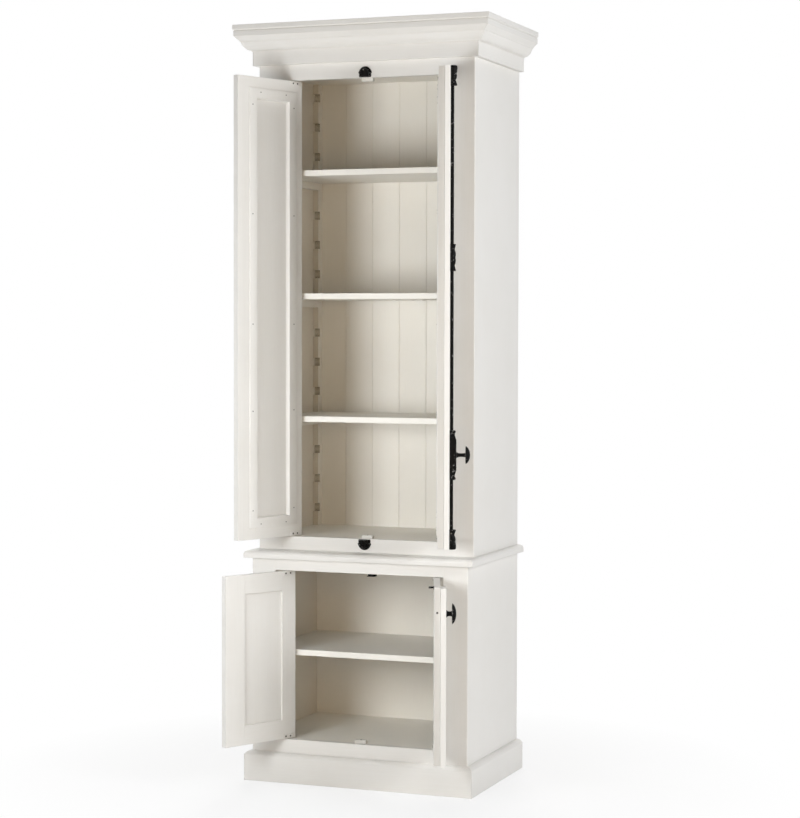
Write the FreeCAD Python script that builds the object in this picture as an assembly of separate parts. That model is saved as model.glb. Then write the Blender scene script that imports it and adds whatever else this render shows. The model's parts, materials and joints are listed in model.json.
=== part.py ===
import FreeCAD, Part
import math
import os

# A painted two-part cupboard: a lower case on a skirting, a waist board, and a taller, shallower
# upper case with a frieze and a cornice. Each case has a face frame and a pair of inset doors that
# turn on pivots let into the rails. The right-hand doors carry an astragal over the meeting line.
# A rod bolt with a rack-and-pinion case closes the upper pair, a roller catch the lower pair.
# Millimetres, +Z up. The front faces -Y and the left-hand doors are on the -X side. The origin is
# on the floor at the middle of the back, where the cupboard meets the wall.

# Cases
carcass_width = 712.0
lower_depth = 481.0
upper_depth = 429.0
lower_height = 697.0
side_board = 18.0
floor_board = 18.0
back_board = 12.0
back_rebate = 9.0
frame_thickness = 22.0
stile_width = 79.0
frame_arris = 3.0
frame_tenon_length = 25.0
frame_tenon = 8.0
frame_tenon_shoulder = 8.0
cut_overrun = 5.0

# Skirting and base
skirting_height = 92.0
skirting_face = 81.0
skirting_projection = 20.0
skirting_top_flat = 2.0
skirting_out_share = 0.58
skirting_up_share = 0.73
base_rail_drop = 74.0

# Lower case front
lower_rail_show = 42.0
lower_top_rail_width = 36.5

# Waist board
waist_thickness = 23.0
waist_overhang = 21.0
waist_nose = 7.0
waist_top_overhang = 8.0
thumb_share = 0.74

# Upper case front
upper_bottom_rail_width = 42.0
upper_opening_height = 1416.0
upper_rail_show = 49.0
ceiling_drop = 18.0

# Frieze and cornice
frieze_height = 44.0
frieze_thickness = 15.0
cornice_foot = 3.0
cornice_ovolo = 19.0
cornice_fillet = 3.0
cornice_cove = 21.0
cornice_ovolo_reach = 18.0
cornice_cove_reach = 21.0
cornice_band = 23.0
cornice_lip = 6.0
cornice_cap = 13.0
ovolo_out_share = 0.78
ovolo_up_share = 0.40
case_rise = 64.0

# Back boards of the upper case
board_pitch = 93.7
board_count = 7
board_tongue = 6.0
board_tongue_thickness = 4.0
board_groove_spare = 0.5
board_chamfer = 1.6

# Shelves, racks and bearers
shelf_board = 18.0
shelf_side_clearance = 2.0
shelf_back_clearance = 2.0
upper_shelf_setback = 49.0
lower_shelf_setback = 45.0
lower_shelf_rise = 257.0
rack_thickness = 18.0
rack_depth = 33.0
rack_notch_height = 26.0
rack_notch_depth = 14.0
rack_notch_pitch = 96.0
rack_notch_count = 15
rack_first_notch = 46.0
rack_end_clearance = 1.0
bearer_height = 22.0
bearer_end_clearance = 0.4
shelf_notch_clearance = 1.0
top_shelf_notch_count = 11
middle_shelf_notch_count = 7
bottom_shelf_notch_count = 3
lower_shelf_housing = 6.0

# Doors
door_thickness = 18.0
door_gap = 2.0
meeting_gap = 3.0
hinge_stile = 52.0
free_stile = 74.0
door_rail = 60.0
door_tenon_length = 30.0
door_tenon = 6.0
door_tenon_shoulder = 8.0
bead_width = 26.0
door_lip = 5.0
upper_panel = 4.0
bead_thickness = 8.5
panel_clearance = 0.5
bead_clearance = 0.3
lower_panel = 6.0
groove_depth = 9.0
upper_left_open_deg = 111.5
upper_right_open_deg = 110.0
lower_left_open_deg = 117.0
lower_right_open_deg = 110.5

# Pivot hinges
pivot_inset = 30.0
lower_right_pivot_inset = 22.5
pivot_plate_length = 38.0
pivot_plate_width = 12.0
pivot_plate = 2.5
pivot_leg = 1.5
pivot_leg_drop = 14.0
pivot_pin_radius = 3.0
pivot_pin_reach = 9.0
pivot_running = 0.05
pivot_bore_room = 0.5
pivot_end_room = 2.0
pivot_pad_length = 14.0
pivot_pad_play = 0.1

# Astragals
astragal_width = 46.0
astragal_thickness = 17.0
astragal_round = 3.0
astragal_relief = 0.5

# Rod bolt
bolt_axis_rise = 279.0
rod_radius = 5.0
rod_standoff = 1.0
rod_running = 0.08
rod_end_setback = 2.0
case_width = 40.0
case_depth = 20.0
case_body = 104.0
case_neck = 145.0
case_neck_width = 24.0
case_neck_depth = 15.5
case_flat = 88.0
case_slope = 14.0
case_wall = 3.0
case_edge = 2.5
gear_module = 1.5
gear_teeth = 14
gear_pressure_deg = 20.0
gear_backlash = 0.35
gear_addendum_share = 0.8
gear_dedendum_share = 1.15
gear_flank_points = 2
rack_plate = 7.0
rack_back = 4.4
rack_tail = 22.0
rack_arm_gap = 4.0
rack_arm_height = 8.0
hub_radius = 7.0
hub_play = 0.3
spindle_radius = 4.5
spindle_running = 0.06
knob_stem_radius = 5.8
knob_stem_length = 24.0
knob_collar_radius = 9.0
knob_collar = 2.0
knob_seat_play = 0.4
knob_length = 53.0
knob_width = 27.0
knob_thickness = 14.0
knob_end_width = 7.0
knob_tip = 5.0
guide_plate = 3.0
guide_width = 32.0
guide_point = 9.0
end_guide_height = 58.0
end_guide_radius = 14.5
middle_guide_height = 79.0
middle_guide_rise = 817.0
middle_guide_radius = 11.0
guide_neck_radius = 9.0
guide_waist_share = 0.30

# Keepers of the rod bolt
keeper_width = 44.0
keeper_height = 33.0
keeper_plate = 3.0
keeper_boss_width = 25.0
keeper_boss_height = 29.0
keeper_front_wall = 4.0
keeper_gap = 1.0
keeper_bore_room = 1.0
keeper_bore_depth = 20.0

# Knob of the lower pair
lower_knob_drop = 78.5
lower_knob_length = 61.0
lower_knob_width = 27.0
lower_knob_thickness = 13.0
lower_knob_stem_length = 14.0
lower_rosette_radius = 11.0
lower_rosette = 2.5

# Door stops
stop_width = 36.0
stop_drop = 10.0
stop_depth = 12.0
stop_overlap = 20.0
stop_gap = 0.5
stop_chamfer = 3.0

# Roller catch of the lower pair
catch_from_centre = 32.0
catch_width = 24.0
catch_plate = 2.0
catch_channel = 6.0
catch_depth = 22.0
catch_drop = 0.5
catch_fixing = 28.0
roller_radius = 3.0
roller_spread = 17.0
roller_from_front = 9.0
roller_play = 0.1
tongue_base_width = 20.0
tongue_base_height = 9.0
tongue_length = 14.0
tongue_bulb = 4.5
tongue_neck = 3.0
tongue_thickness = 5.4

# Worked out from the sizes above
half_width = carcass_width / 2
inner_half = half_width - side_board
opening_half = half_width - stile_width
lower_front = -lower_depth
upper_front = -upper_depth
lower_floor_top = skirting_height + lower_rail_show
lower_opening_top = lower_height - lower_top_rail_width
upper_base = lower_height + waist_thickness
upper_floor_top = upper_base + upper_bottom_rail_width
upper_opening_top = upper_floor_top + upper_opening_height
frieze_base = upper_opening_top + upper_rail_show
cornice_base = frieze_base + frieze_height
case_top = cornice_base + case_rise
ceiling_bottom = frieze_base - ceiling_drop
leaf_width = opening_half - door_gap - meeting_gap / 2
pivot_insets = {
    (-1, upper_front): pivot_inset,
    (1, upper_front): pivot_inset,
    (-1, lower_front): pivot_inset,
    (1, lower_front): lower_right_pivot_inset,
}
rod_axis = rod_radius + rod_standoff
bolt_axis_height = upper_floor_top + bolt_axis_rise
bolt_face = upper_front - astragal_thickness
pitch_radius = gear_module * gear_teeth / 2
gear_tip = pitch_radius + gear_module * gear_addendum_share
rack_root = pitch_radius + gear_module * gear_dedendum_share
first_underside = upper_floor_top + rack_first_notch + bearer_height
shelf_underside = {
    "top": first_underside + top_shelf_notch_count * rack_notch_pitch,
    "middle": first_underside + middle_shelf_notch_count * rack_notch_pitch,
    "bottom": first_underside + bottom_shelf_notch_count * rack_notch_pitch,
}

nodes = {}


def vec(x, y, z):
    return FreeCAD.Vector(x, y, z)


def box(x_span, y_span, z_span):
    x0, x1 = sorted(x_span)
    y0, y1 = sorted(y_span)
    z0, z1 = sorted(z_span)
    return Part.makeBox(x1 - x0, y1 - y0, z1 - z0, vec(x0, y0, z0))


def outline_face(steps, place):
    # Closed outline: a pair of numbers is the end of a line, a pair of pairs an arc's middle and end.
    here = place(*steps[0])
    edges = []
    for step in steps[1:] + steps[:1]:
        if isinstance(step[0], tuple):
            end = place(*step[1])
            edges.append(Part.Arc(here, place(*step[0]), end).toShape())
        else:
            end = place(*step)
            edges.append(Part.makeLine(here, end))
        here = end
    return Part.Face(Part.Wire(edges))


def upright(steps, z_span):
    z0, z1 = z_span
    return outline_face(steps, lambda x, y: vec(x, y, z0)).extrude(vec(0, 0, z1 - z0))


def along_x(steps, x_span):
    x0, x1 = x_span
    return outline_face(steps, lambda y, z: vec(x0, y, z)).extrude(vec(x1 - x0, 0, 0))


def along_y(steps, y_span):
    y0, y1 = y_span
    return outline_face(steps, lambda x, z: vec(x, y0, z)).extrude(vec(0, y1 - y0, 0))


def mirrored(shape):
    return shape.mirror(vec(0, 0, 0), vec(1, 0, 0))


def rod_shape(radius, start, direction, length):
    return Part.makeCylinder(radius, length, start, direction)


def keep(name, *shapes):
    nodes[name] = Part.makeCompound(list(shapes)) if len(shapes) > 1 else shapes[0]


def mitred_run(profile, reach, face_half, face_depth, base, height):
    # A moulding planted round the front and both sides, mitred at the two front corners.
    far_half = face_half + reach
    far_depth = face_depth + reach
    front = outline_face(profile, lambda p, h: vec(-far_half, -(face_depth + p), base + h))
    front = front.extrude(vec(2 * far_half, 0, 0))
    left = outline_face(profile, lambda p, h: vec(-(face_half + p), -far_depth, base + h))
    left = left.extrude(vec(0, far_depth, 0))
    corner = [
        (-far_half, -far_depth),
        (far_half, -far_depth),
        (face_half, -face_depth),
        (-face_half, -face_depth),
    ]
    wedge = upright(corner, (base - cut_overrun, base + height + cut_overrun))
    left = left.cut(wedge)
    return front.common(wedge), left, mirrored(left)


def frame_rail(front, z_span):
    # A rail of a face frame with a tenon at each end, and the tenon by itself for the mortises.
    z0, z1 = z_span
    tenon_front = front + (frame_thickness - frame_tenon) / 2
    tenon_half = opening_half + frame_tenon_length
    tenon = box(
        (-tenon_half, tenon_half),
        (tenon_front, tenon_front + frame_tenon),
        (z0 + frame_tenon_shoulder, z1 - frame_tenon_shoulder),
    )
    body = box((-opening_half, opening_half), (front, front + frame_thickness), z_span)
    return body.fuse(tenon).removeSplitter(), tenon


def frame_stiles(front, z_span, tenons):
    bend = frame_arris * (1 - math.sqrt(0.5))
    steps = [
        (opening_half, front),
        (half_width - frame_arris, front),
        ((half_width - bend, front + bend), (half_width, front + frame_arris)),
        (half_width, front + frame_thickness),
        (opening_half, front + frame_thickness),
    ]
    stile = upright(steps, z_span)
    for tenon in tenons:
        stile = stile.cut(tenon)
    return mirrored(stile), stile


def case_side(front, z_span):
    steps = [
        (inner_half, front + frame_thickness),
        (half_width, front + frame_thickness),
        (half_width, 0),
        (inner_half + back_rebate, 0),
        (inner_half + back_rebate, -back_board),
        (inner_half, -back_board),
    ]
    return upright(steps, z_span)


def pivot_x(side, front):
    return side * (opening_half - door_gap - pivot_insets[side, front])


def pivot_seats(front, opening_top, opening_base):
    # Plates let into the rails over and under the doors, each with its fixed pin; round the lower
    # pins a raised pad carries the door.
    seats = []
    middle = front + door_thickness / 2
    pin_length = door_gap + pivot_plate + pivot_pin_reach
    for side in (-1, 1):
        x = pivot_x(side, front)
        x_span = (x - pivot_plate_length / 2, x + pivot_plate_length / 2)
        y_span = (middle - pivot_plate_width / 2, middle + pivot_plate_width / 2)
        pad_x = (x - pivot_pad_length / 2, x + pivot_pad_length / 2)
        for level, way in ((opening_top, -1), (opening_base, 1)):
            plate = box(x_span, y_span, (level, level - way * pivot_plate))
            start = vec(x, middle, level)
            seat = plate.fuse(rod_shape(pivot_pin_radius, start, vec(0, 0, way), pin_length))
            if way > 0:
                seat = seat.fuse(box(pad_x, y_span, (level, level + way * (door_gap - pivot_pad_play))))
            seats.append((plate, seat.removeSplitter()))
    return seats


def build_base_and_lower_case():
    shoulder = skirting_height - skirting_face
    bulge = skirting_projection - skirting_top_flat
    skirting_profile = [
        (0, 0),
        (skirting_projection, 0),
        (skirting_projection, skirting_face),
        (
            (skirting_top_flat + bulge * skirting_out_share, skirting_face + shoulder * skirting_up_share),
            (skirting_top_flat, skirting_height),
        ),
        (0, skirting_height),
    ]
    lengths = mitred_run(skirting_profile, skirting_projection, half_width, lower_depth, 0, skirting_height)
    keep("skirting", *lengths)

    floor_bottom = lower_floor_top - floor_board
    rebated_half = inner_half + back_rebate
    keep("base_back_rail", box((-rebated_half, rebated_half), (-back_board, 0), (0, floor_bottom)))
    keep("lower_back", box((-rebated_half, rebated_half), (-back_board, 0), (floor_bottom, lower_height)))
    carcass_front = lower_front + frame_thickness
    keep(
        "lower_floor",
        box((-inner_half, inner_half), (carcass_front, -back_board), (floor_bottom, lower_floor_top)),
    )

    shelf_bottom = lower_floor_top + lower_shelf_rise
    shelf_front = lower_front + lower_shelf_setback
    shelf_half = inner_half + lower_shelf_housing
    shelf_back = -back_board - shelf_back_clearance
    shelf_z = (shelf_bottom, shelf_bottom + shelf_board)
    shelf = box((-shelf_half, shelf_half), (shelf_front, shelf_back), shelf_z)
    keep("lower_shelf", shelf)
    side = case_side(lower_front, (0, lower_height)).cut(shelf)
    keep("lower_side_left", mirrored(side))
    keep("lower_side_right", side)

    top_rail, top_tenon = frame_rail(lower_front, (lower_opening_top, lower_height))
    bottom_rail, bottom_tenon = frame_rail(lower_front, (lower_floor_top - base_rail_drop, lower_floor_top))
    seats = pivot_seats(lower_front, lower_opening_top, lower_floor_top)
    for plate, _ in seats:
        top_rail = top_rail.cut(plate)
        bottom_rail = bottom_rail.cut(plate)
    keep("lower_top_rail", top_rail)
    keep("lower_bottom_rail", bottom_rail)
    keep("lower_stiles", *frame_stiles(lower_front, (0, lower_height), (top_tenon, bottom_tenon)))
    return [seat for _, seat in seats]


def build_waist_board():
    reach = half_width + waist_overhang
    top_reach = half_width + waist_top_overhang
    front_reach = lower_depth + waist_overhang
    thumb_out = (waist_overhang - waist_top_overhang) * thumb_share
    thumb_level = lower_height + waist_nose + (waist_thickness - waist_nose) * thumb_share
    nose_level = lower_height + waist_nose
    across = [
        (-reach, lower_height),
        (reach, lower_height),
        (reach, nose_level),
        ((top_reach + thumb_out, thumb_level), (top_reach, upper_base)),
        (-top_reach, upper_base),
        ((-top_reach - thumb_out, thumb_level), (-reach, nose_level)),
    ]
    front_top = -lower_depth - waist_top_overhang
    from_front = [
        (0, lower_height),
        (-front_reach, lower_height),
        (-front_reach, nose_level),
        ((front_top - thumb_out, thumb_level), (front_top, upper_base)),
        (0, upper_base),
    ]
    keep("waist_board", along_y(across, (-front_reach, 0)).common(along_x(from_front, (-reach, reach))))


def back_board_outline(left, right, has_tongue, has_groove):
    # One back board in plan: V-chamfered front edges, a tongue on its left and a groove on its right.
    tongue_back = -(back_board - board_tongue_thickness) / 2
    tongue_front = tongue_back - board_tongue_thickness
    steps = [(left, 0), (right, 0)]
    if has_groove:
        depth = right - board_tongue - board_groove_spare
        steps += [(right, tongue_back), (depth, tongue_back), (depth, tongue_front), (right, tongue_front)]
        steps += [(right, -back_board + board_chamfer), (right - board_chamfer, -back_board)]
    else:
        steps += [(right, -back_board)]
    if has_tongue:
        tip = left - board_tongue
        steps += [(left + board_chamfer, -back_board), (left, -back_board + board_chamfer)]
        steps += [(left, tongue_front), (tip, tongue_front), (tip, tongue_back), (left, tongue_back)]
    else:
        steps += [(left, -back_board)]
    return steps


def build_upper_case():
    carcass_front = upper_front + frame_thickness
    side = case_side(upper_front, (upper_base, case_top))
    keep("upper_side_left", mirrored(side))
    keep("upper_side_right", side)
    inner_span = (-inner_half, inner_half)
    depth_span = (carcass_front, -back_board)
    keep("upper_floor", box(inner_span, depth_span, (upper_floor_top - floor_board, upper_floor_top)))
    keep("upper_ceiling", box(inner_span, depth_span, (ceiling_bottom, frieze_base)))

    boards = []
    rebated_half = inner_half + back_rebate
    first_joint = -board_pitch * (board_count - 2) / 2
    for index in range(board_count):
        left = -rebated_half if index == 0 else first_joint + (index - 1) * board_pitch
        last = index == board_count - 1
        right = rebated_half if last else first_joint + index * board_pitch
        boards.append(upright(back_board_outline(left, right, index > 0, not last), (upper_base, case_top)))
    keep("upper_back_boards", *boards)

    top_rail, top_tenon = frame_rail(upper_front, (upper_opening_top, case_top))
    bottom_rail, bottom_tenon = frame_rail(upper_front, (upper_base, upper_floor_top))
    seats = pivot_seats(upper_front, upper_opening_top, upper_floor_top)
    for plate, _ in seats:
        top_rail = top_rail.cut(plate)
        bottom_rail = bottom_rail.cut(plate)
    keep("upper_top_rail", top_rail)
    keep("upper_bottom_rail", bottom_rail)
    keep("upper_stiles", *frame_stiles(upper_front, (upper_base, case_top), (top_tenon, bottom_tenon)))
    return [seat for _, seat in seats]


def build_frieze_and_cornice():
    frieze_profile = [(0, 0), (frieze_thickness, 0), (frieze_thickness, frieze_height), (0, frieze_height)]
    lengths = mitred_run(
        frieze_profile, frieze_thickness, half_width, upper_depth, frieze_base, frieze_height
    )
    keep("frieze", *lengths)

    foot = frieze_thickness + cornice_foot
    ovolo_out = foot + cornice_ovolo_reach
    cove_base = cornice_ovolo + cornice_fillet
    band_out = ovolo_out + cornice_cove_reach
    band_base = cove_base + cornice_cove
    cap_base = band_base + cornice_band
    cap_out = band_out + cornice_lip
    height = cap_base + cornice_cap
    cornice_profile = [
        (0, 0),
        (foot, 0),
        (
            (foot + cornice_ovolo_reach * ovolo_out_share, cornice_ovolo * ovolo_up_share),
            (ovolo_out, cornice_ovolo),
        ),
        (ovolo_out, cove_base),
        (
            (
                ovolo_out + cornice_cove_reach * (1 - ovolo_out_share),
                cove_base + cornice_cove * (1 - ovolo_up_share),
            ),
            (band_out, band_base),
        ),
        (band_out, cap_base),
        (cap_out, cap_base),
        (cap_out, height),
        (0, height),
    ]
    keep("cornice", *mitred_run(cornice_profile, cap_out, half_width, upper_depth, cornice_base, height))


def build_shelving():
    rack_inner = inner_half - rack_thickness
    rack_span = (upper_floor_top, ceiling_bottom)
    front_rack = (upper_front + frame_thickness, upper_front + frame_thickness + rack_depth)
    rear_rack = (-back_board - rack_depth, -back_board)
    front_seat = front_rack[1] - rack_notch_depth
    rear_seat = rear_rack[0] + rack_notch_depth
    front_strip = box((rack_inner, inner_half), front_rack, rack_span)
    rear_strip = box((rack_inner, inner_half), rear_rack, rack_span)
    across = (rack_inner - cut_overrun, inner_half + cut_overrun)
    for index in range(rack_notch_count):
        notch_base = upper_floor_top + rack_first_notch + index * rack_notch_pitch
        notch_span = (notch_base, notch_base + rack_notch_height)
        front_strip = front_strip.cut(box(across, (front_seat, front_rack[1] + cut_overrun), notch_span))
        rear_strip = rear_strip.cut(box(across, (rear_rack[0] - cut_overrun, rear_seat), notch_span))
    keep("shelf_racks", mirrored(front_strip), front_strip, mirrored(rear_strip), rear_strip)

    shelf_front = upper_front + upper_shelf_setback
    shelf_back = -back_board - shelf_back_clearance
    shelf_half = inner_half - shelf_side_clearance
    waist_half = rack_inner - shelf_notch_clearance
    front_corner = front_rack[1] + shelf_notch_clearance
    rear_corner = rear_rack[0] - shelf_notch_clearance
    right_edge = [
        (waist_half, shelf_front),
        (waist_half, front_corner),
        (shelf_half, front_corner),
        (shelf_half, rear_corner),
        (waist_half, rear_corner),
        (waist_half, shelf_back),
    ]
    shelf_outline = right_edge + [(-x, y) for x, y in reversed(right_edge)]
    bearers = []
    for name, underside in shelf_underside.items():
        keep(f"upper_shelf_{name}", upright(shelf_outline, (underside, underside + shelf_board)))
        ends = (front_seat + bearer_end_clearance, rear_seat - bearer_end_clearance)
        bearer = box((rack_inner, inner_half), ends, (underside - bearer_height, underside))
        bearers += [mirrored(bearer), bearer]
    keep("shelf_bearers", *bearers)


def leaf_box(side, front, u_span, v_span, z_span):
    # A block of a closed door: u from its hinge edge, v from its outer face.
    hinge_edge = opening_half - door_gap
    x_span = (side * (hinge_edge - u_span[0]), side * (hinge_edge - u_span[1]))
    return box(x_span, (front + v_span[0], front + v_span[1]), z_span)


def leaf_pivots(side, front, z_span):
    # Bored plates let into the top and bottom edges, each bent over on to the inner face, and the
    # square pockets behind them for the pins.
    middle = front + door_thickness / 2
    inset = pivot_insets[side, front]
    plates = []
    cuts = []
    for level, way in ((z_span[1], -1), (z_span[0], 1)):
        u_span = (inset - pivot_plate_length / 2, inset + pivot_plate_length / 2)
        v_span = ((door_thickness - pivot_plate_width) / 2, door_thickness)
        plate = leaf_box(side, front, u_span, v_span, (level, level + way * pivot_plate))
        leg_v = (door_thickness, door_thickness + pivot_leg)
        leg = leaf_box(side, front, u_span, leg_v, (level, level + way * pivot_leg_drop))
        start = vec(pivot_x(side, front), middle, level)
        depth = pivot_plate + pivot_pin_reach + pivot_end_room
        pocket_half = pivot_pin_radius + pivot_bore_room
        pocket_u = (inset - pocket_half, inset + pocket_half)
        pocket_v = (door_thickness / 2 - pocket_half, door_thickness / 2 + pocket_half)
        cuts += [plate, leaf_box(side, front, pocket_u, pocket_v, (level, level + way * depth))]
        bent = plate.fuse(leg).removeSplitter()
        plates.append(bent.cut(rod_shape(pivot_pin_radius + pivot_running, start, vec(0, 0, way), depth)))
    return plates, cuts


def leaf_frame(side, front, z_span):
    # Square-edged stiles and rails, with the rails' tenons ready for the mortises.
    bottom, top = z_span
    sight = (hinge_stile, leaf_width - free_stile)
    thick = (0, door_thickness)
    stiles = [
        leaf_box(side, front, (0, hinge_stile), thick, z_span),
        leaf_box(side, front, (sight[1], leaf_width), thick, z_span),
    ]
    rails = [
        leaf_box(side, front, sight, thick, (bottom, bottom + door_rail)),
        leaf_box(side, front, sight, thick, (top - door_rail, top)),
    ]
    return stiles, rails, sight


def cut_all(shapes, cutters):
    cut_shapes = []
    for shape in shapes:
        for cutter in cutters:
            shape = shape.cut(cutter)
        cut_shapes.append(shape)
    return cut_shapes


def beaded_leaf(side, front, z_span):
    # Upper door: a rebate open to the inside holds the panel, and four mitred beads hold it there.
    bottom, top = z_span
    stiles, rails, sight = leaf_frame(side, front, z_span)
    flat = door_rail - bead_width
    pocket_u = (sight[0] - bead_width, sight[1] + bead_width)
    pocket_z = (bottom + flat, top - flat)
    pocket = leaf_box(side, front, pocket_u, (door_lip, door_thickness), pocket_z)
    tenon_v = (door_lip, door_lip + door_tenon)
    tenon_u = (sight[0] - door_tenon_length, sight[1] + door_tenon_length)
    tenons = []
    for z0, z1 in ((bottom, bottom + flat), (top - flat, top)):
        tenon_z = (z0 + door_tenon_shoulder + pivot_pin_reach, z1)
        if z1 == top:
            tenon_z = (z0, z1 - door_tenon_shoulder - pivot_pin_reach)
        tenons.append(leaf_box(side, front, tenon_u, tenon_v, tenon_z))
    rails = [rail.cut(pocket).fuse(tenon).removeSplitter() for rail, tenon in zip(rails, tenons)]
    stiles = cut_all(stiles, [pocket] + tenons)

    panel_back = door_lip + upper_panel
    panel_u = (pocket_u[0] + panel_clearance, pocket_u[1] - panel_clearance)
    panel_z = (pocket_z[0] + panel_clearance, pocket_z[1] - panel_clearance)
    panel = leaf_box(side, front, panel_u, (door_lip, panel_back), panel_z)

    outer_u = (pocket_u[0] + bead_clearance, pocket_u[1] - bead_clearance)
    outer_z = (pocket_z[0] + bead_clearance, pocket_z[1] - bead_clearance)
    inner_z = (bottom + door_rail, top - door_rail)
    outer = [(outer_u[i], outer_z[j]) for i, j in ((0, 0), (1, 0), (1, 1), (0, 1))]
    inner = [(sight[i], inner_z[j]) for i, j in ((0, 0), (1, 0), (1, 1), (0, 1))]
    hinge_edge = opening_half - door_gap
    beads = []
    for k in range(4):
        n = (k + 1) % 4
        corners = [outer[k], outer[n], inner[n], inner[k]]
        steps = [(side * (hinge_edge - u), z) for u, z in corners]
        beads.append(along_y(steps, (front + panel_back, front + panel_back + bead_thickness)))
    return stiles, rails, panel, beads


def grooved_leaf(side, front, z_span):
    # Lower door: a flat panel held in a groove round the frame, with stub tenons in the same groove.
    bottom, top = z_span
    stiles, rails, sight = leaf_frame(side, front, z_span)
    groove_v = ((door_thickness - lower_panel) / 2, (door_thickness + lower_panel) / 2)
    groove_u = (sight[0] - groove_depth, sight[1] + groove_depth)
    stub_rails = []
    for rail, (z0, z1) in zip(rails, ((bottom, bottom + door_rail), (top - door_rail, top))):
        groove_z = (z1 - groove_depth, z1) if z0 == bottom else (z0, z0 + groove_depth)
        stub = leaf_box(side, front, groove_u, groove_v, (z0, z1))
        groove = leaf_box(side, front, groove_u, groove_v, groove_z)
        stub_rails.append(rail.fuse(stub).removeSplitter().cut(groove))
    stiles = cut_all(stiles, [leaf_box(side, front, groove_u, groove_v, z_span)])
    panel_u = (groove_u[0] + panel_clearance, groove_u[1] - panel_clearance)
    inset = door_rail - groove_depth + panel_clearance
    panel = leaf_box(side, front, panel_u, groove_v, (bottom + inset, top - inset))
    return stiles, stub_rails, panel, []


def swung(side, front, angle_deg, shape):
    pivot = vec(pivot_x(side, front), front + door_thickness / 2, 0)
    return shape.rotated(pivot, vec(0, 0, 1), side * angle_deg)


def build_door(name, make_leaf, side, front, z_span, angle_deg):
    stiles, rails, panel, beads = make_leaf(side, front, z_span)
    plates, cuts = leaf_pivots(side, front, z_span)
    stiles = cut_all(stiles, cuts)
    rails = cut_all(rails, cuts)
    groups = {"stiles": stiles, "rails": rails, "panel": [panel], "beads": beads, "pivot_plates": plates}
    for piece, shapes in groups.items():
        if shapes:
            keep(f"{name}_{piece}", *[swung(side, front, angle_deg, shape) for shape in shapes])


def astragal(front, z_span):
    half = astragal_width / 2
    edge = meeting_gap / 2
    bend = astragal_round * (1 - math.sqrt(0.5))
    face = front - astragal_thickness
    steps = [
        (half, front),
        (half, face + astragal_round),
        ((half - bend, face + bend), (half - astragal_round, face)),
        (-half + astragal_round, face),
        ((-half + bend, face + bend), (-half, face + astragal_round)),
        (-half, front - astragal_relief),
        (edge, front - astragal_relief),
        (edge, front),
    ]
    return upright(steps, z_span)


def bolt_point(x, out, z):
    # A point of the bolt: x from the meeting line, out from the astragal's face.
    return vec(x, bolt_face - out, z)


def bolt_block(x_span, out_span, z_span):
    return box(x_span, (bolt_face - out_span[0], bolt_face - out_span[1]), z_span)


def involute_turn(radius, base_radius):
    ratio = max(radius / base_radius, 1)
    slope = math.sqrt(ratio * ratio - 1)
    return slope - math.atan(slope)


def gear_outline():
    # Spur gear tooth flanks as involutes from the base circle out to a stubbed tip.
    base_radius = pitch_radius * math.cos(math.radians(gear_pressure_deg))
    root_radius = pitch_radius - gear_module * gear_dedendum_share
    half_tooth = (math.pi * gear_module / 2 - gear_backlash) / 2 / pitch_radius
    half_base = half_tooth + involute_turn(pitch_radius, base_radius)
    flank = []
    for index in range(gear_flank_points):
        radius = base_radius + (gear_tip - base_radius) * index / (gear_flank_points - 1)
        flank.append((radius, half_base - involute_turn(radius, base_radius)))
    flank = [(root_radius, half_base)] + flank
    tooth = [(radius, -turn) for radius, turn in flank]
    tooth += [(radius, turn) for radius, turn in reversed(flank)]
    points = []
    for index in range(gear_teeth):
        centre = 2 * math.pi * index / gear_teeth
        placed = [(radius, centre + turn) for radius, turn in tooth]
        points += [(radius * math.cos(turn), radius * math.sin(turn)) for radius, turn in placed]
    return points


def rack_outline(bottom, top):
    # Toothed edge of a rack on the gear's -X side, with a tooth space level with the gear's axis.
    pitch = math.pi * gear_module
    slope = math.tan(math.radians(gear_pressure_deg))
    tip_x = -pitch_radius + gear_module * gear_addendum_share
    half_pitch_tooth = (pitch / 2 - gear_backlash) / 2
    half_tip = half_pitch_tooth - gear_module * gear_addendum_share * slope
    half_root = half_pitch_tooth + gear_module * gear_dedendum_share * slope
    first = math.ceil((bottom + half_root) / pitch - 1 / 2)
    last = math.floor((top - half_root) / pitch - 1 / 2)
    steps = [(-rack_root - rack_back, bottom), (-rack_root, bottom)]
    for index in range(first, last + 1):
        middle = (index + 1 / 2) * pitch
        steps += [(-rack_root, middle - half_root), (tip_x, middle - half_tip)]
        steps += [(tip_x, middle + half_tip), (-rack_root, middle + half_root)]
    return steps + [(-rack_root, top), (-rack_root - rack_back, top)]


def bolt_rod(rod_end):
    # The upper rod with its rack: an arm brings the rod over from the rack to the gear's middle.
    out_span = (rod_axis - rack_plate / 2, rod_axis + rack_plate / 2)
    arm_base = gear_tip + rack_arm_gap
    arm_top = arm_base + rack_arm_height
    steps = [(x, bolt_axis_height + z) for x, z in rack_outline(-rack_tail, arm_top)]
    rack = along_y(steps, (bolt_face - out_span[0], bolt_face - out_span[1]))
    arm_levels = (bolt_axis_height + arm_base, bolt_axis_height + arm_top)
    arm = bolt_block((-rack_root - rack_back, 0), out_span, arm_levels)
    start = bolt_point(0, rod_axis, arm_levels[0])
    rod = rod_shape(rod_radius, start, vec(0, 0, 1), rod_end - arm_levels[0])
    return rack.fuse([arm, rod]).removeSplitter()


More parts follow.
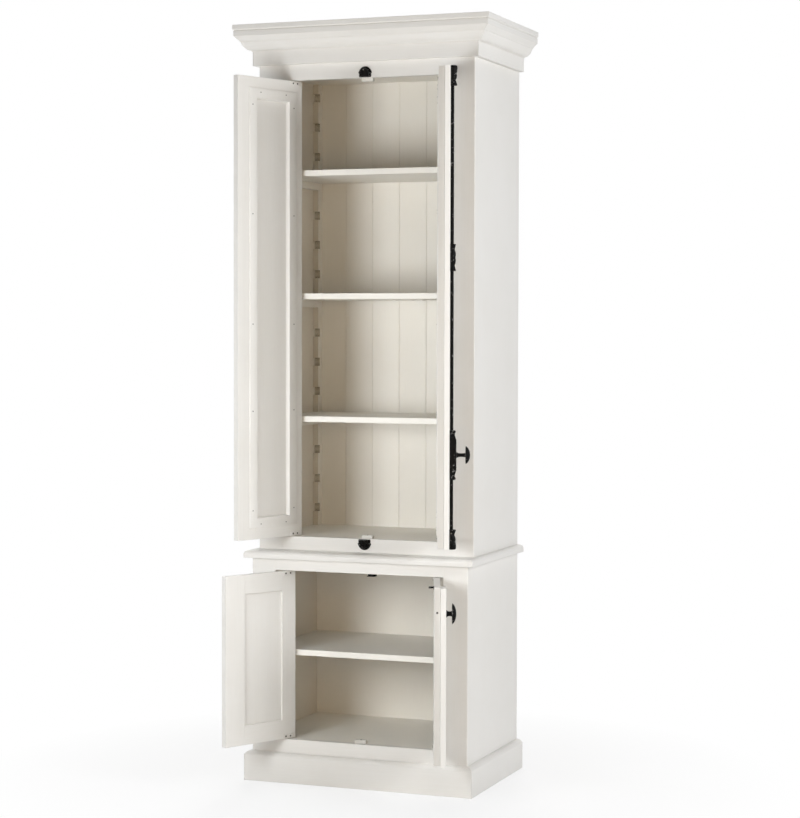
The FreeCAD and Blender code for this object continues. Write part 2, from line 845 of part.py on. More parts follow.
def oval_knob(seat_out, collar_radius, collar, stem_length, length, width, thickness):
    # Turned stem on a collar, with a long head that is oval from the front and a crescent from the side.
    stem_out = seat_out + collar
    head_out = stem_out + stem_length
    profile = [
        (0, seat_out),
        (collar_radius, seat_out),
        (collar_radius, stem_out),
        (knob_stem_radius, stem_out),
        (knob_stem_radius, head_out),
        (0, head_out),
    ]
    stem = outline_face(profile, lambda r, out: vec(r, -out, 0)).revolve(vec(0, 0, 0), vec(0, 1, 0), 360)
    end_half = knob_end_width / 2
    oval = [
        (end_half, -length / 2),
        ((width / 2, 0), (end_half, length / 2)),
        (-end_half, length / 2),
        ((-width / 2, 0), (-end_half, -length / 2)),
    ]
    crescent = [
        (-head_out, -length / 2),
        (-head_out, length / 2),
        (-head_out - knob_tip, length / 2),
        ((-head_out - thickness, 0), (-head_out - knob_tip, -length / 2)),
    ]
    head = along_y(oval, (-head_out, -head_out - thickness))
    head = head.common(along_x(crescent, (-width / 2, width / 2)))
    return stem.fuse(head).Solids[0]


def case_profile():
    # The case from the side: full depth along the middle, sloping down to a neck at each end.
    neck_front = bolt_face - case_neck_depth
    body_front = bolt_face - case_depth
    upper = [
        (body_front, case_flat / 2),
        (neck_front, case_flat / 2 + case_slope),
        (neck_front, case_neck / 2),
        (bolt_face, case_neck / 2),
    ]
    steps = upper + [(y, -z) for y, z in reversed(upper)]
    return [(y, bolt_axis_height + z) for y, z in steps]


def build_bolt_case():
    half_body = case_body / 2
    half_neck = case_neck / 2
    swell = (half_neck - half_body) / 2
    right = [
        (case_neck_width / 2, -half_neck),
        (case_neck_width / 2, -half_body - swell),
        (case_width / 2, -half_body),
        (case_width / 2, half_body),
        (case_neck_width / 2, half_body + swell),
        (case_neck_width / 2, half_neck),
    ]
    outline = right + [(-x, z) for x, z in reversed(right)]
    steps = [(x, bolt_axis_height + z) for x, z in outline]
    shell = along_y(steps, (bolt_face, bolt_face - case_depth))
    front_edges = [e for e in shell.Edges if e.BoundBox.YMax < bolt_face - case_depth + cut_overrun]
    shell = shell.makeChamfer(case_edge, front_edges)
    shell = shell.common(along_x(case_profile(), (-case_width / 2, case_width / 2)))
    inside = bolt_block(
        (-case_width / 2 + case_wall, case_width / 2 - case_wall),
        (0, case_depth - case_wall),
        (bolt_axis_height - half_body + case_wall, bolt_axis_height + half_body - case_wall),
    )
    rod_bore = rod_shape(
        rod_radius + rod_running,
        bolt_point(0, rod_axis, bolt_axis_height - half_neck - cut_overrun),
        vec(0, 0, 1),
        case_neck + 2 * cut_overrun,
    )
    spindle_bore = rod_shape(
        spindle_radius + spindle_running,
        bolt_point(0, 0, bolt_axis_height),
        vec(0, -1, 0),
        case_depth + cut_overrun,
    )
    return shell.cut(inside).cut(rod_bore).cut(spindle_bore)


def build_bolt_pinion():
    # The gear, its hub against the inside of the case, and the spindle that carries the knob.
    gear_out = (rod_axis - rack_plate / 2, rod_axis + rack_plate / 2)
    steps = [(x, bolt_axis_height + z) for x, z in gear_outline()]
    gear = along_y(steps, (bolt_face - gear_out[0], bolt_face - gear_out[1]))
    hub_end = case_depth - case_wall - hub_play
    hub_start = bolt_point(0, gear_out[1], bolt_axis_height)
    hub = rod_shape(hub_radius, hub_start, vec(0, -1, 0), hub_end - gear_out[1])
    spindle_end = case_depth + knob_seat_play
    spindle = rod_shape(
        spindle_radius, bolt_point(0, hub_end, bolt_axis_height), vec(0, -1, 0), spindle_end - hub_end
    )
    return gear.fuse([hub, spindle]).removeSplitter()


def rod_guide(base, height, radius, neck_low, neck_high):
    # A guide turned about the rod, tapered at its free ends, on a plate with clipped corners.
    waist = height * guide_waist_share
    low = guide_neck_radius if neck_low else radius
    high = guide_neck_radius if neck_high else radius
    barrel_profile = [
        (0, base),
        (low, base),
        (radius, base + waist),
        (radius, base + height - waist),
        (high, base + height),
        (0, base + height),
    ]
    barrel = outline_face(barrel_profile, lambda r, z: bolt_point(r, rod_axis, z))
    barrel = barrel.revolve(bolt_point(0, rod_axis, base), vec(0, 0, 1), 360)
    front_half = bolt_block((-guide_width, guide_width), (0, rod_axis + 2 * radius), (base, base + height))
    plate_right = [
        (guide_width / 2 - guide_point, base),
        (guide_width / 2, base + guide_point),
        (guide_width / 2, base + height - guide_point),
        (guide_width / 2 - guide_point, base + height),
    ]
    plate_steps = plate_right + [(-x, z) for x, z in reversed(plate_right)]
    plate = along_y(plate_steps, (bolt_face, bolt_face - guide_plate))
    bore_start = bolt_point(0, rod_axis, base - cut_overrun)
    bore = rod_shape(rod_radius + rod_running, bore_start, vec(0, 0, 1), height + 2 * cut_overrun)
    return barrel.common(front_half).fuse(plate).removeSplitter().cut(bore)


def build_rod_bolt(door_span):
    # Everything on the upper right door's astragal, with the rods drawn in.
    bottom, top = door_span
    upper_rod = bolt_rod(top - rod_end_setback)
    lower_end = 2 * bolt_axis_height - bottom - rod_end_setback
    axis = bolt_point(0, rod_axis, bolt_axis_height)
    lower_rod = bolt_rod(lower_end).rotated(axis, vec(0, 1, 0), 180)
    knob_out = astragal_thickness + case_depth + knob_seat_play
    knob = oval_knob(
        knob_out, knob_collar_radius, knob_collar, knob_stem_length, knob_length, knob_width, knob_thickness
    )
    knob.translate(vec(0, upper_front, bolt_axis_height))
    guides = [
        rod_guide(bottom, end_guide_height, end_guide_radius, False, True),
        rod_guide(upper_floor_top + middle_guide_rise, middle_guide_height, middle_guide_radius, True, True),
        rod_guide(top - end_guide_height, end_guide_height, end_guide_radius, True, False),
    ]
    pieces = {
        "upper_astragal": [astragal(upper_front, door_span)],
        "bolt_case": [build_bolt_case()],
        "bolt_pinion": [build_bolt_pinion()],
        "bolt_knob": [knob],
        "bolt_upper_rod": [upper_rod],
        "bolt_lower_rod": [lower_rod],
        "bolt_guides": guides,
    }
    for name, shapes in pieces.items():
        keep(name, *[swung(1, upper_front, upper_right_open_deg, shape) for shape in shapes])


def build_keepers():
    # Domed sockets on the rails over and under the doors, bored for the ends of the rods.
    keepers = []
    bore_out = astragal_thickness + rod_axis
    depth = bore_out + rod_radius + keeper_bore_room + keeper_front_wall
    for level, way in ((upper_opening_top, 1), (upper_floor_top, -1)):
        base = level + way * keeper_gap
        layers = []
        plate_size = (keeper_width, keeper_height, keeper_plate)
        boss_size = (keeper_boss_width, keeper_boss_height, depth)
        for width, height, reach in (plate_size, boss_size):
            spring = base + way * (height - width / 2)
            crown = base + way * height
            steps = [
                (-width / 2, base),
                (width / 2, base),
                (width / 2, spring),
                ((0, crown), (-width / 2, spring)),
            ]
            layers.append(along_y(steps, (upper_front, upper_front - reach)))
        bore_start = vec(0, upper_front - bore_out, base)
        bore = rod_shape(rod_radius + keeper_bore_room, bore_start, vec(0, 0, way), keeper_bore_depth)
        keepers.append(layers[0].fuse(layers[1]).removeSplitter().cut(bore))
    keep("bolt_keepers", *keepers)


def build_lower_knob(door_span):
    knob = oval_knob(
        astragal_thickness,
        lower_rosette_radius,
        lower_rosette,
        lower_knob_stem_length,
        lower_knob_length,
        lower_knob_width,
        lower_knob_thickness,
    )
    knob.translate(vec(0, lower_front, lower_opening_top - lower_knob_drop))
    keep("lower_knob", swung(1, lower_front, lower_right_open_deg, knob))
    keep("lower_astragal", swung(1, lower_front, lower_right_open_deg, astragal(lower_front, door_span)))


def build_door_stops():
    # Blocks behind the meeting line: one behind the upper top rail, one on each case's floor.
    x_span = (-stop_width / 2, stop_width / 2)
    face = upper_front + door_thickness + stop_gap
    rail_back = upper_front + frame_thickness
    low = upper_opening_top - stop_drop
    hanging = [
        (face, low),
        (rail_back + stop_depth - stop_chamfer, low),
        (rail_back + stop_depth, low + stop_chamfer),
        (rail_back + stop_depth, upper_opening_top + stop_overlap),
        (rail_back, upper_opening_top + stop_overlap),
        (rail_back, upper_opening_top),
        (face, upper_opening_top),
    ]
    stops = [along_x(hanging, x_span)]
    for front, level in ((upper_front, upper_floor_top), (lower_front, lower_floor_top)):
        near = front + door_thickness + stop_gap
        far = front + frame_thickness + stop_depth
        standing = [
            (near, level),
            (far, level),
            (far, level + stop_drop - stop_chamfer),
            (far - stop_chamfer, level + stop_drop),
            (near, level + stop_drop),
        ]
        stops.append(along_x(standing, x_span))
    keep("door_stops", *stops)


def build_roller_catch(door_top):
    # A folded channel behind the lower top rail holds two rollers, and the door's tongue enters it.
    rail_back = lower_front + frame_thickness
    back = rail_back + catch_depth
    top = lower_opening_top - catch_drop
    bottom = top - catch_channel - 2 * catch_plate
    channel = [
        (rail_back, bottom),
        (back, bottom),
        (back, top),
        (rail_back + catch_plate, top),
        (rail_back + catch_plate, top + catch_fixing),
        (rail_back, top + catch_fixing),
        (rail_back, top - catch_plate),
        (back - catch_plate, top - catch_plate),
        (back - catch_plate, bottom + catch_plate),
        (rail_back, bottom + catch_plate),
    ]
    x_span = (catch_from_centre - catch_width / 2, catch_from_centre + catch_width / 2)
    rollers = []
    for way in (-1, 1):
        seat = vec(
            catch_from_centre + way * roller_spread / 2,
            rail_back + roller_from_front,
            bottom + catch_plate + roller_play,
        )
        rollers.append(rod_shape(roller_radius, seat, vec(0, 0, 1), catch_channel - 2 * roller_play))
    keep("roller_catch", along_x(channel, x_span), *rollers)

    inner_face = lower_front + door_thickness
    tip = inner_face + catch_plate + tongue_length
    middle_level = bottom + catch_plate + catch_channel / 2
    level_span = (middle_level - tongue_thickness / 2, middle_level + tongue_thickness / 2)
    bulb_middle = tip - tongue_bulb
    neck_half = tongue_neck / 2
    tongue_steps = [
        (catch_from_centre - neck_half, inner_face),
        (catch_from_centre + neck_half, inner_face),
        (catch_from_centre + neck_half, bulb_middle - tongue_bulb),
        (catch_from_centre + tongue_bulb, bulb_middle),
        ((catch_from_centre, tip), (catch_from_centre - tongue_bulb, bulb_middle)),
        (catch_from_centre - neck_half, bulb_middle - tongue_bulb),
    ]
    tongue = upright(tongue_steps, level_span)
    base_x = (catch_from_centre - tongue_base_width / 2, catch_from_centre + tongue_base_width / 2)
    base_z = (door_top - tongue_base_height, door_top)
    base = box(base_x, (inner_face, inner_face + catch_plate), base_z)
    keep("catch_tongue", swung(1, lower_front, lower_right_open_deg, base.fuse(tongue).removeSplitter()))


def main():
    upper_doors = (upper_floor_top + door_gap, upper_opening_top - door_gap)
    lower_doors = (lower_floor_top + door_gap, lower_opening_top - door_gap)
    lower_seats = build_base_and_lower_case()
    build_waist_board()
    upper_seats = build_upper_case()
    build_frieze_and_cornice()
    build_shelving()
    keep("hinge_plates", *upper_seats, *lower_seats)
    build_door("upper_left", beaded_leaf, -1, upper_front, upper_doors, upper_left_open_deg)
    build_door("upper_right", beaded_leaf, 1, upper_front, upper_doors, upper_right_open_deg)
    build_door("lower_left", grooved_leaf, -1, lower_front, lower_doors, lower_left_open_deg)
    build_door("lower_right", grooved_leaf, 1, lower_front, lower_doors, lower_right_open_deg)
    build_rod_bolt(upper_doors)
    build_keepers()
    build_lower_knob(lower_doors)
    build_door_stops()
    build_roller_catch(lower_doors[1])
    os.makedirs("parts", exist_ok=True)
    for name, shape in nodes.items():
        shape.exportStep(f"parts/{name}.step")
    print(len(nodes), "nodes")


main()
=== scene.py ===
import json
import math
from collections import namedtuple

import bmesh
import bpy
from mathutils import Matrix, Vector


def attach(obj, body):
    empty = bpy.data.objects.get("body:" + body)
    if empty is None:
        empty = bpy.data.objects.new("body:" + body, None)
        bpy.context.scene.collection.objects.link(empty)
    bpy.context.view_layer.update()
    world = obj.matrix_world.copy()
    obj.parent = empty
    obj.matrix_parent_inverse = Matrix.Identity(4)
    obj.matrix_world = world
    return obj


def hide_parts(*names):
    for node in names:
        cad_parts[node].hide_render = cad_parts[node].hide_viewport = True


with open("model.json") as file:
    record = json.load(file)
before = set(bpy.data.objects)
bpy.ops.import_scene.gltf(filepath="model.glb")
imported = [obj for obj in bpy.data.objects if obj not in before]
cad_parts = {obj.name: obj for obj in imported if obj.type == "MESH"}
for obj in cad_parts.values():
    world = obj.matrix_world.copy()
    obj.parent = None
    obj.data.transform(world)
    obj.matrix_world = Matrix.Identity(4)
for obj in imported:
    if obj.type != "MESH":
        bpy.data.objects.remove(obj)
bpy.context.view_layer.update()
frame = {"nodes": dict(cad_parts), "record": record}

# Lengths are in metres throughout. A door has its side of the cupboard, the front face of the closed
# leaf, the angle at which it stands open, the levels of its lower and upper edges, and how far its
# pivot is set in from its hinge edge.
Door = namedtuple("Door", "side front angle span inset")
HINGE_EDGE = 0.275
PIVOT_DEPTH = 0.009
PIVOT_INSET = 0.030
LOWER_RIGHT_INSET = 0.0225
LEAF = 0.018
MEETING_GAP = 0.003
UPPER_FRONT = -0.429
LOWER_FRONT = -0.481
UPPER_SPAN = (0.764, 2.176)
LOWER_SPAN = (0.136, 0.6585)
DOORS = {
    "upper_left": Door(-1, UPPER_FRONT, 111.5, UPPER_SPAN, PIVOT_INSET),
    "upper_right": Door(1, UPPER_FRONT, 110.0, UPPER_SPAN, PIVOT_INSET),
    "lower_left": Door(-1, LOWER_FRONT, 117.0, LOWER_SPAN, PIVOT_INSET),
    "lower_right": Door(1, LOWER_FRONT, 110.5, LOWER_SPAN, LOWER_RIGHT_INSET),
}
BEADED_DOORS = ("upper_left", "upper_right")
ASTRAGAL = 0.017
ASTRAGAL_FRONT = UPPER_FRONT - ASTRAGAL

# Ways that a fitting looks when the doors are closed
FORWARD = (0, -1, 0)
BACKWARD = (0, 1, 0)
UPWARD = (0, 0, 1)
LEFTWARD = (-1, 0, 0)

# Edges sharper than this angle stay sharp in the shading
SMOOTH_DEG = 38
MOULD_SMOOTH_DEG = 30
CORNICE_SMOOTH_DEG = 25

# Beads round the upper panels: a moulding that stands proud of the leaf and slopes to the panel
BEAD_FACE = 0.0175
BEAD_WIDTH = 0.0257
MOULD_FACE = 0.0213
MOULD_ROUND = 0.0010
MOULD_ARRIS = 0.0003
MOULD_SUNK = 0.0005
PANEL_BACK = 0.009
SLOPE_FROM = 0.0043
SLOPE_TO = 0.008
SLOPE_CROWN = 0.0008
SLOPE_STEPS = 6
SIGHT_U = (0.052, 0.1995)
SIGHT_Z = (0.824, 2.116)

# Nails in the beads, at shares of the sight height. A head's dome is given as shares of its radius
# and of its rise.
NAIL_FROM_SIGHT = 0.014
NAIL_FROM_CORNER = 0.020
NAIL_SHARES = (0.022, 0.258, 0.464, 0.724, 0.981)
NAIL_RADIUS = 0.0020
NAIL_RISE = 0.00064
NAIL_SUNK = 0.0006
NAIL_SUNK_SHARE = 0.75
NAIL_DOME = ((1.0, 0.0), (0.96, 0.45), (0.70, 0.85), (0.30, 1.0))
NAIL_SEGMENTS = 14

# Screw heads: rise and half width of the slot as shares of the radius, and the slot's floor as a
# share of the rise. The slots are turned by an angle that grows along the row, in radians per metre.
SCREW_RISE = 0.30
SCREW_SLOT = 0.16
SCREW_SLOT_FLOOR = 0.15
SCREW_DOME_POWER = 0.6
SCREW_SUNK = 0.0007
SCREW_RINGS = 7
SCREW_RING_SPAN = 7.6
SCREW_SEGMENTS = 28

# Rod bolt on the upper right astragal: low, middle and high guide
ROD_OUT = 0.006
BOLT_AXIS = 1.041
CASE_DEPTH = 0.020
GUIDE_PLATE = 0.003
GUIDE_EDGE = 0.0006
GUIDE_HALF_WIDTH = 0.016
GUIDE_CLIP = 0.009
GUIDE_SEGMENTS = 30
GUIDE_SPANS = ((0.764, 0.822), (1.579, 1.658), (2.118, 2.176))
# Turned outlines, as radius and distance from the free end: a flared ring, a waist, then the body.
END_GUIDE = [
    (0.0052, 0.0), (0.0125, 0.0), (0.0136, 0.0012), (0.0134, 0.003), (0.0112, 0.009), (0.0094, 0.0145),
    (0.0092, 0.0165), (0.0112, 0.020), (0.0128, 0.026), (0.0130, 0.030), (0.0122, 0.034), (0.0126, 0.037),
    (0.0140, 0.043), (0.0145, 0.049), (0.0141, 0.054), (0.0128, 0.0575), (0.0120, 0.058), (0.0052, 0.058),
]
MIDDLE_GUIDE_HALF = [
    (0.0052, 0.0), (0.0102, 0.0), (0.0112, 0.0012), (0.0110, 0.003), (0.0092, 0.010), (0.0080, 0.0155),
    (0.0081, 0.0175), (0.0098, 0.022), (0.0109, 0.028), (0.0110, 0.032), (0.0100, 0.0365),
]
# Rings at the ends of the bolt's case, as radius and distance from the knob's axis
CASE_RING_SEAT = 0.001
CASE_RING_OUTLINE = [
    (0.0065, 0.0625), (0.0100, 0.0635), (0.0111, 0.0655), (0.0120, 0.0670), (0.0125, 0.0705),
    (0.0117, 0.0717), (0.0065, 0.0721),
]
BOLT_SCREW = 0.0020
GUIDE_SCREW_X = 0.0136
CASE_SCREW_X = 0.0125
CASE_SCREW_RISE = 0.036
BOLT_TURN_ACROSS = 90.0
BOLT_TURN_UP = 5.0

# Knobs: a turned collar and stem under a long oval head. The stem's outline is given as shares of its
# waist and of its length, the collar's as shares of its radius and rise.
Knob = namedtuple("Knob", "collar_radius collar_rise stem_length waist length width thickness tip")
BOLT_KNOB = Knob(0.009, 0.002, 0.024, 0.0053, 0.053, 0.027, 0.014, 0.005)
LOWER_KNOB = Knob(0.011, 0.0025, 0.014, 0.0068, 0.061, 0.027, 0.013, 0.005)
KNOB_PLAY = 0.0004
BOLT_KNOB_SEAT = ASTRAGAL + CASE_DEPTH + KNOB_PLAY
LOWER_KNOB_LEVEL = 0.582
COLLAR_OUTLINE = ((1.0, 0.0), (1.0, 0.45), (0.93, 0.85))
STEM_FOOT = 1.42
STEM_FOOT_RISE = 1.1
STEM_OUTLINE = ((1.17, 0.12), (1.04, 0.30), (1.0, 0.55), (1.06, 0.80), (1.25, 1.0))
STEM_END = 1.36
STEM_INTO_HEAD = 0.003
KNOB_SEGMENTS = 36
HEAD_SECTIONS = 30
HEAD_AROUND = 28
HEAD_END_POWER = 7
HEAD_SIDE_POWER = 2.3
HEAD_SQUARENESS = 0.85
HEAD_BACK_SHARE = 0.45

# Keepers of the rod bolt: level of the open end and the way up from it. The plate's layers are shares
# of its thickness and of its outline.
KEEPER_LEVELS = ((2.179, 1), (0.761, -1))
KEEPER_PLATE = 0.003
KEEPER_LAYERS = ((0.0, 1.0), (0.7, 1.0), (1.0, 0.95))
KEEPER_OUTLINE = [
    (0.0185, 0.0), (0.0200, 0.004), (0.0195, 0.0105), (0.0220, 0.0140), (0.0205, 0.0175), (0.0170, 0.0240),
    (0.0115, 0.0295), (0.0060, 0.0322),
]
KEEPER_CROWN = 0.0330
KEEPER_SCREW = 0.0024
KEEPER_SCREW_X = 0.0165
KEEPER_SCREW_RISE = 0.0125
KEEPER_TURN_ACROSS = 70.0
BOSS_HALF = 0.0125
BOSS_HEIGHT = 0.029
BOSS_DEPTH = 0.0329
BOSS_POWER = 2.8
BOSS_HALF_POWER = 2.6
BOSS_DEPTH_POWER = 3.2
BOSS_MIDDLE_SHARE = 0.6
BOSS_LEVEL_SHARES = (0.0, 0.12, 0.3, 0.48, 0.64, 0.77, 0.87, 0.94, 0.98, 0.997)
BOSS_BORE = 0.006
BOSS_BORE_OUT = 0.023
BOSS_BORE_DEPTH = 0.013
BOSS_AROUND = 40
BOSS_HALVINGS = 40

# Cornice, planted round the front and sides of the upper case. Its outline is given as distance in
# from the edge of the cap and drop from the top: cap, bevel, band, bevel, cove, fillet and ovolo.
CORNICE_HALF = 0.356
CORNICE_DEPTH = 0.429
CORNICE_REACH = 0.063
CORNICE_TOP = 2.350
CORNICE_OUTLINE = [
    (0.0, 0.0), (0.0, 0.0134), (0.0046, 0.0176), (0.0046, 0.0182), (0.0025, 0.0188),
    (0.0025, 0.0346), (0.0060, 0.0380), (0.0080, 0.0402), (0.0114, 0.0434), (0.0148, 0.0462),
    (0.0172, 0.0488), (0.0172, 0.0500), (0.0198, 0.0514), (0.0198, 0.0530), (0.0215, 0.0566),
    (0.0237, 0.0610), (0.0263, 0.0652), (0.0292, 0.0690), (0.0328, 0.0723), (0.0366, 0.0748),
    (0.0404, 0.0762), (0.0450, 0.0770), (0.0450, 0.0790), (CORNICE_REACH, 0.0790), (CORNICE_REACH, 0.0),
]

# Screws of the pivot legs on the backs of the doors
LEG_SCREW = 0.0032
LEG_SCREW_FROM_PIVOT = 0.009
LEG_OUT = 0.0195
LEG_HEIGHT = 0.014
LEG_TURN_START = 0.5
LEG_TURN_ACROSS = 210.0

# Screws of the door stops (place, the way the head looks, turn of the slot), of the lower catch and
# its tongue, and on the edge of the lower right leaf behind the knob
STOP_SCREW = 0.0030
STOP_SCREWS = (
    ((0, -0.3955, 2.189), BACKWARD, 0.7),
    ((0, -0.403, 0.772), UPWARD, 0.4),
    ((0, -0.455, 0.144), UPWARD, 1.1),
)
CATCH_SCREW_XS = (0.025, 0.039)
CATCH_SCREW_Y = LOWER_FRONT + 0.024
CATCH_SCREW_LEVEL = 0.680
CATCH_TURN_ACROSS = 90.0
TONGUE_SCREW = 0.0022
TONGUE_SCREW_XS = (0.0245, 0.0395)
TONGUE_PLATE = 0.002
TONGUE_SCREW_LEVEL = 0.654
TONGUE_TURN_ACROSS = 80.0
EDGE_SCREW = 0.0034
EDGE_SCREW_LEVEL = 0.584
EDGE_SCREW_TURN = 0.9

PAINT_LOW = (0.755, 0.735, 0.695, 1)
PAINT_HIGH = (0.805, 0.788, 0.760, 1)
INSIDE_LOW = (0.885, 0.856, 0.790, 1)
INSIDE_HIGH = (0.925, 0.902, 0.845, 1)
# Painted shade: a darker, creamier white on the faces of the case sides within
SIDE_SHADE_LOW = (0.80, 0.745, 0.655, 1)
SIDE_SHADE_HIGH = (0.84, 0.79, 0.705, 1)
WORN = (0.62, 0.56, 0.47, 1)
# Dust and painted shade in the hollows of the paint
HOLLOW_DUST_AND_SHADE = (0.56, 0.51, 0.43, 1)
# Painted shade on the rack's faces other than the one that looks into the case
RACK_FRONT_SHADE = (0.75, 0.70, 0.61, 1)
# Painted shade in the rack notches
NOTCH_SHADE = (0.12, 0.10, 0.07, 1)
IRON_LOW = (0.002, 0.002, 0.002, 1)
IRON_HIGH = (0.006, 0.0057, 0.0053, 1)
# Light flecks and arrises on the black iron: worn metal and painted glints
IRON_WEAR_AND_GLINT = (0.36, 0.35, 0.34, 1)
METAL_LOW = (0.74, 0.72, 0.68, 1)
METAL_HIGH = (0.82, 0.80, 0.77, 1)
PLASTIC_LOW = (0.62, 0.60, 0.55, 1)
PLASTIC_HIGH = (0.70, 0.68, 0.64, 1)
NAIL_LOW = (0.12, 0.11, 0.10, 1)
NAIL_HIGH = (0.24, 0.22, 0.20, 1)
SCREW_LOW = (0.05, 0.048, 0.045, 1)
SCREW_HIGH = (0.13, 0.125, 0.12, 1)
FLOOR_LOW = (0.86, 0.86, 0.86, 1)
FLOOR_HIGH = (0.89, 0.89, 0.89, 1)
WHITE = (1, 1, 1, 1)

# Dust and painted shade in hollows, and in the rack notches a deep painted shade: how far off it looks for
# walls, the openness at which it starts and is full, its share at most, and its colour.
PLAIN_HOLLOWS = (0.012, 0.85, 0.35, 0.22, HOLLOW_DUST_AND_SHADE)
# The rack notches get a deep painted shade
NOTCH_HOLLOWS = (0.030, 0.92, 0.55, 0.90, NOTCH_SHADE)

# Radius at which arrises look rounded, and how much of the normal is left where an arris begins and
# is full
PAINT_ROUND = 0.0018
CAST_ROUND = 0.0009
ARRIS = (0.985, 0.80)
SHADER_SAMPLES = 6
PAINT_BUMP = {"Strength": 0.16, "Distance": 0.0006}
CAST_BUMP_DISTANCE = 0.0004
STROKE_HEIGHT = 0.8
FINE_HEIGHT = 0.2

# How noise is carried over: a span of the noise, and the span of tone, share or roughness it becomes
MOTTLE_TONE = ((0.35, 0.65), (0.15, 0.65))
STROKE_TONE = ((0.3, 0.7), (0.0, 0.35))
STROKE_ROUGHNESS = ((0.25, 0.75), (0.36, 0.52))
RUB_PATCHES = ((0.45, 0.7), (0.0, 0.30))
DUST_AND_SHADE_PATCHES = ((0.3, 0.7), (0.5, 1.0))
CAST_TONE = ((0.3, 0.7), (0.0, 1.0))
CAST_RUB_AND_GLINT_PATCHES = ((0.4, 0.7), (0.1, 0.7))
CAST_FLECKS = ((0.64, 0.70), (0.0, 0.6))
CAST_ROUGH_SPAN = (0.3, 0.7)
SMOOTHER = 0.06
ROUGHER = 0.08

# A face of a case side or rack looks into the case where x times its normal's x is under this
LOOKS_INWARD = -0.1

# Brush strokes: how fast they change along x, y and z, per metre.
STROKES = {
    "upright": (260, 260, 7),
    "level": (7, 7, 260),
    "along_x": (7, 260, 260),
    "along_y": (260, 7, 260),
}

# Words in the nodes' names that tell which way the wood runs, and the fittings' slots
LEVEL_WORDS = ("rail", "frieze", "cornice", "skirting", "waist")
SHELF_WORDS = ("shelf_top", "shelf_middle", "shelf_bottom", "lower_shelf", "floor", "ceiling")
SLOT_MATERIALS = {"black_iron": "iron", "white_metal": "metal", "white_plastic": "plastic"}

# The photograph's own view, fitted to its edges: a long lens from the right, a little over mid height
CAMERA_PLACE = (2.4876, -6.6067, 1.4124)
CAMERA_YAW_DEG = 21.0
CAMERA_PITCH_DEG = 2.14
CAMERA_ROLL_DEG = 0.12
SENSOR_MM = 36
LENS_MM = 97.47

# Soft boxes: name, place, target, width, watts and colour
STUDIO_AIM = (0, -0.4, 1.25)
LAMPS = [
    ("key", (-0.58, -2.73, 1.2), STUDIO_AIM, 0.9, 34, (0.93, 0.97, 1.0)),
    ("right", (3.85, -1.50, 2.15), STUDIO_AIM, 1.5, 109, (0.96, 0.98, 1.0)),
    ("fill", (1.54, -4.63, 1.3), STUDIO_AIM, 1.5, 23, (1.0, 0.72, 0.42)),
    ("top", (0.2, -1.2, 6.0), (0, -0.5, 0.8), 1.2, 12, (1.0, 0.99, 0.97)),
    ("behind", (-0.80, 3.40, 4.4), (0, 0, 1.6), 1.8, 120, (1.0, 0.99, 0.97)),
    ("left", (-4.00, 0.35, 1.9), (0, -0.2, 1.25), 1.5, 48, (0.98, 0.99, 1.0)),
]
SKY = 0.01
SKY_COLOUR = (0.97, 0.985, 1.0, 1)

# Floor disc, the distances over which it fades into the white background, and the shares of white there
FLOOR_RADIUS = 9.0
FLOOR_SEGMENTS = 96
FLOOR_PLACE = (0, -0.3, -0.0005)
FLOOR_ROUGHNESS = 0.8
FLOOR_FADE = (0.45, 1.3)
FLOOR_FADE_SHARES = (0.72, 1.0)


def add(material, kind, inputs=None, **settings):
    # A shader node with its settings; an input is a value or another node's output.
    node = material.node_tree.nodes.new("ShaderNode" + kind)
    for key, value in settings.items():
        setattr(node, key, value)
    for socket, value in (inputs or {}).items():
        if isinstance(value, bpy.types.NodeSocket):
            material.node_tree.links.new(value, node.inputs[socket])
        else:
            node.inputs[socket].default_value = value
    return node


def noise(material, coords, scale, detail, roughness=0.55, distortion=0.0):
    inputs = {
        "Vector": coords,
        "Scale": scale,
        "Detail": detail,
        "Roughness": roughness,
        "Distortion": distortion,
    }
    return add(material, "TexNoise", inputs).outputs["Fac"]


def spread(material, value, span, to_span):
    # Carries the span of a value over to another span.
    inputs = {0: value, 1: span[0], 2: span[1], 3: to_span[0], 4: to_span[1]}
    return add(material, "MapRange", inputs).outputs[0]


def blend(material, factor, first, second):
    inputs = {0: factor, 6: first, 7: second}
    return add(material, "Mix", inputs, data_type="RGBA").outputs[2]


def times(material, first, second):
    return add(material, "Math", {0: first, 1: second}, operation="MULTIPLY").outputs[0]


def plus(material, first, second):
    return add(material, "Math", {0: first, 1: second}, operation="ADD").outputs[0]


def rounded_normal(material, radius):
    return add(material, "Bevel", {"Radius": radius}, samples=SHADER_SAMPLES).outputs["Normal"]


def edge_mask(material, rounded):
    # How far the rounded normal leaves the face's own: an arris, where paint rubs through and where the black
    # iron has painted glints.
    own = add(material, "NewGeometry").outputs["True Normal"]
    same = add(material, "VectorMath", {0: rounded, 1: own}, operation="DOT_PRODUCT").outputs["Value"]
    return spread(material, same, ARRIS, (0.0, 1.0))


def new_material(name):
    material = bpy.data.materials.new(name)
    material.use_nodes = True
    return material, material.node_tree.nodes["Principled BSDF"]


def connect(material, output, shader, socket):
    material.node_tree.links.new(output, shader.inputs[socket])


def inner_face(material):
    # One on the faces of a case side that look into the case, zero elsewhere.
    coords = add(material, "TexCoord")
    place = add(material, "SeparateXYZ", {0: coords.outputs["Object"]}).outputs[0]
    looks = add(material, "SeparateXYZ", {0: coords.outputs["Normal"]}).outputs[0]
    inputs = {0: times(material, place, looks), 1: LOOKS_INWARD}
    return add(material, "Math", inputs, operation="LESS_THAN").outputs[0]


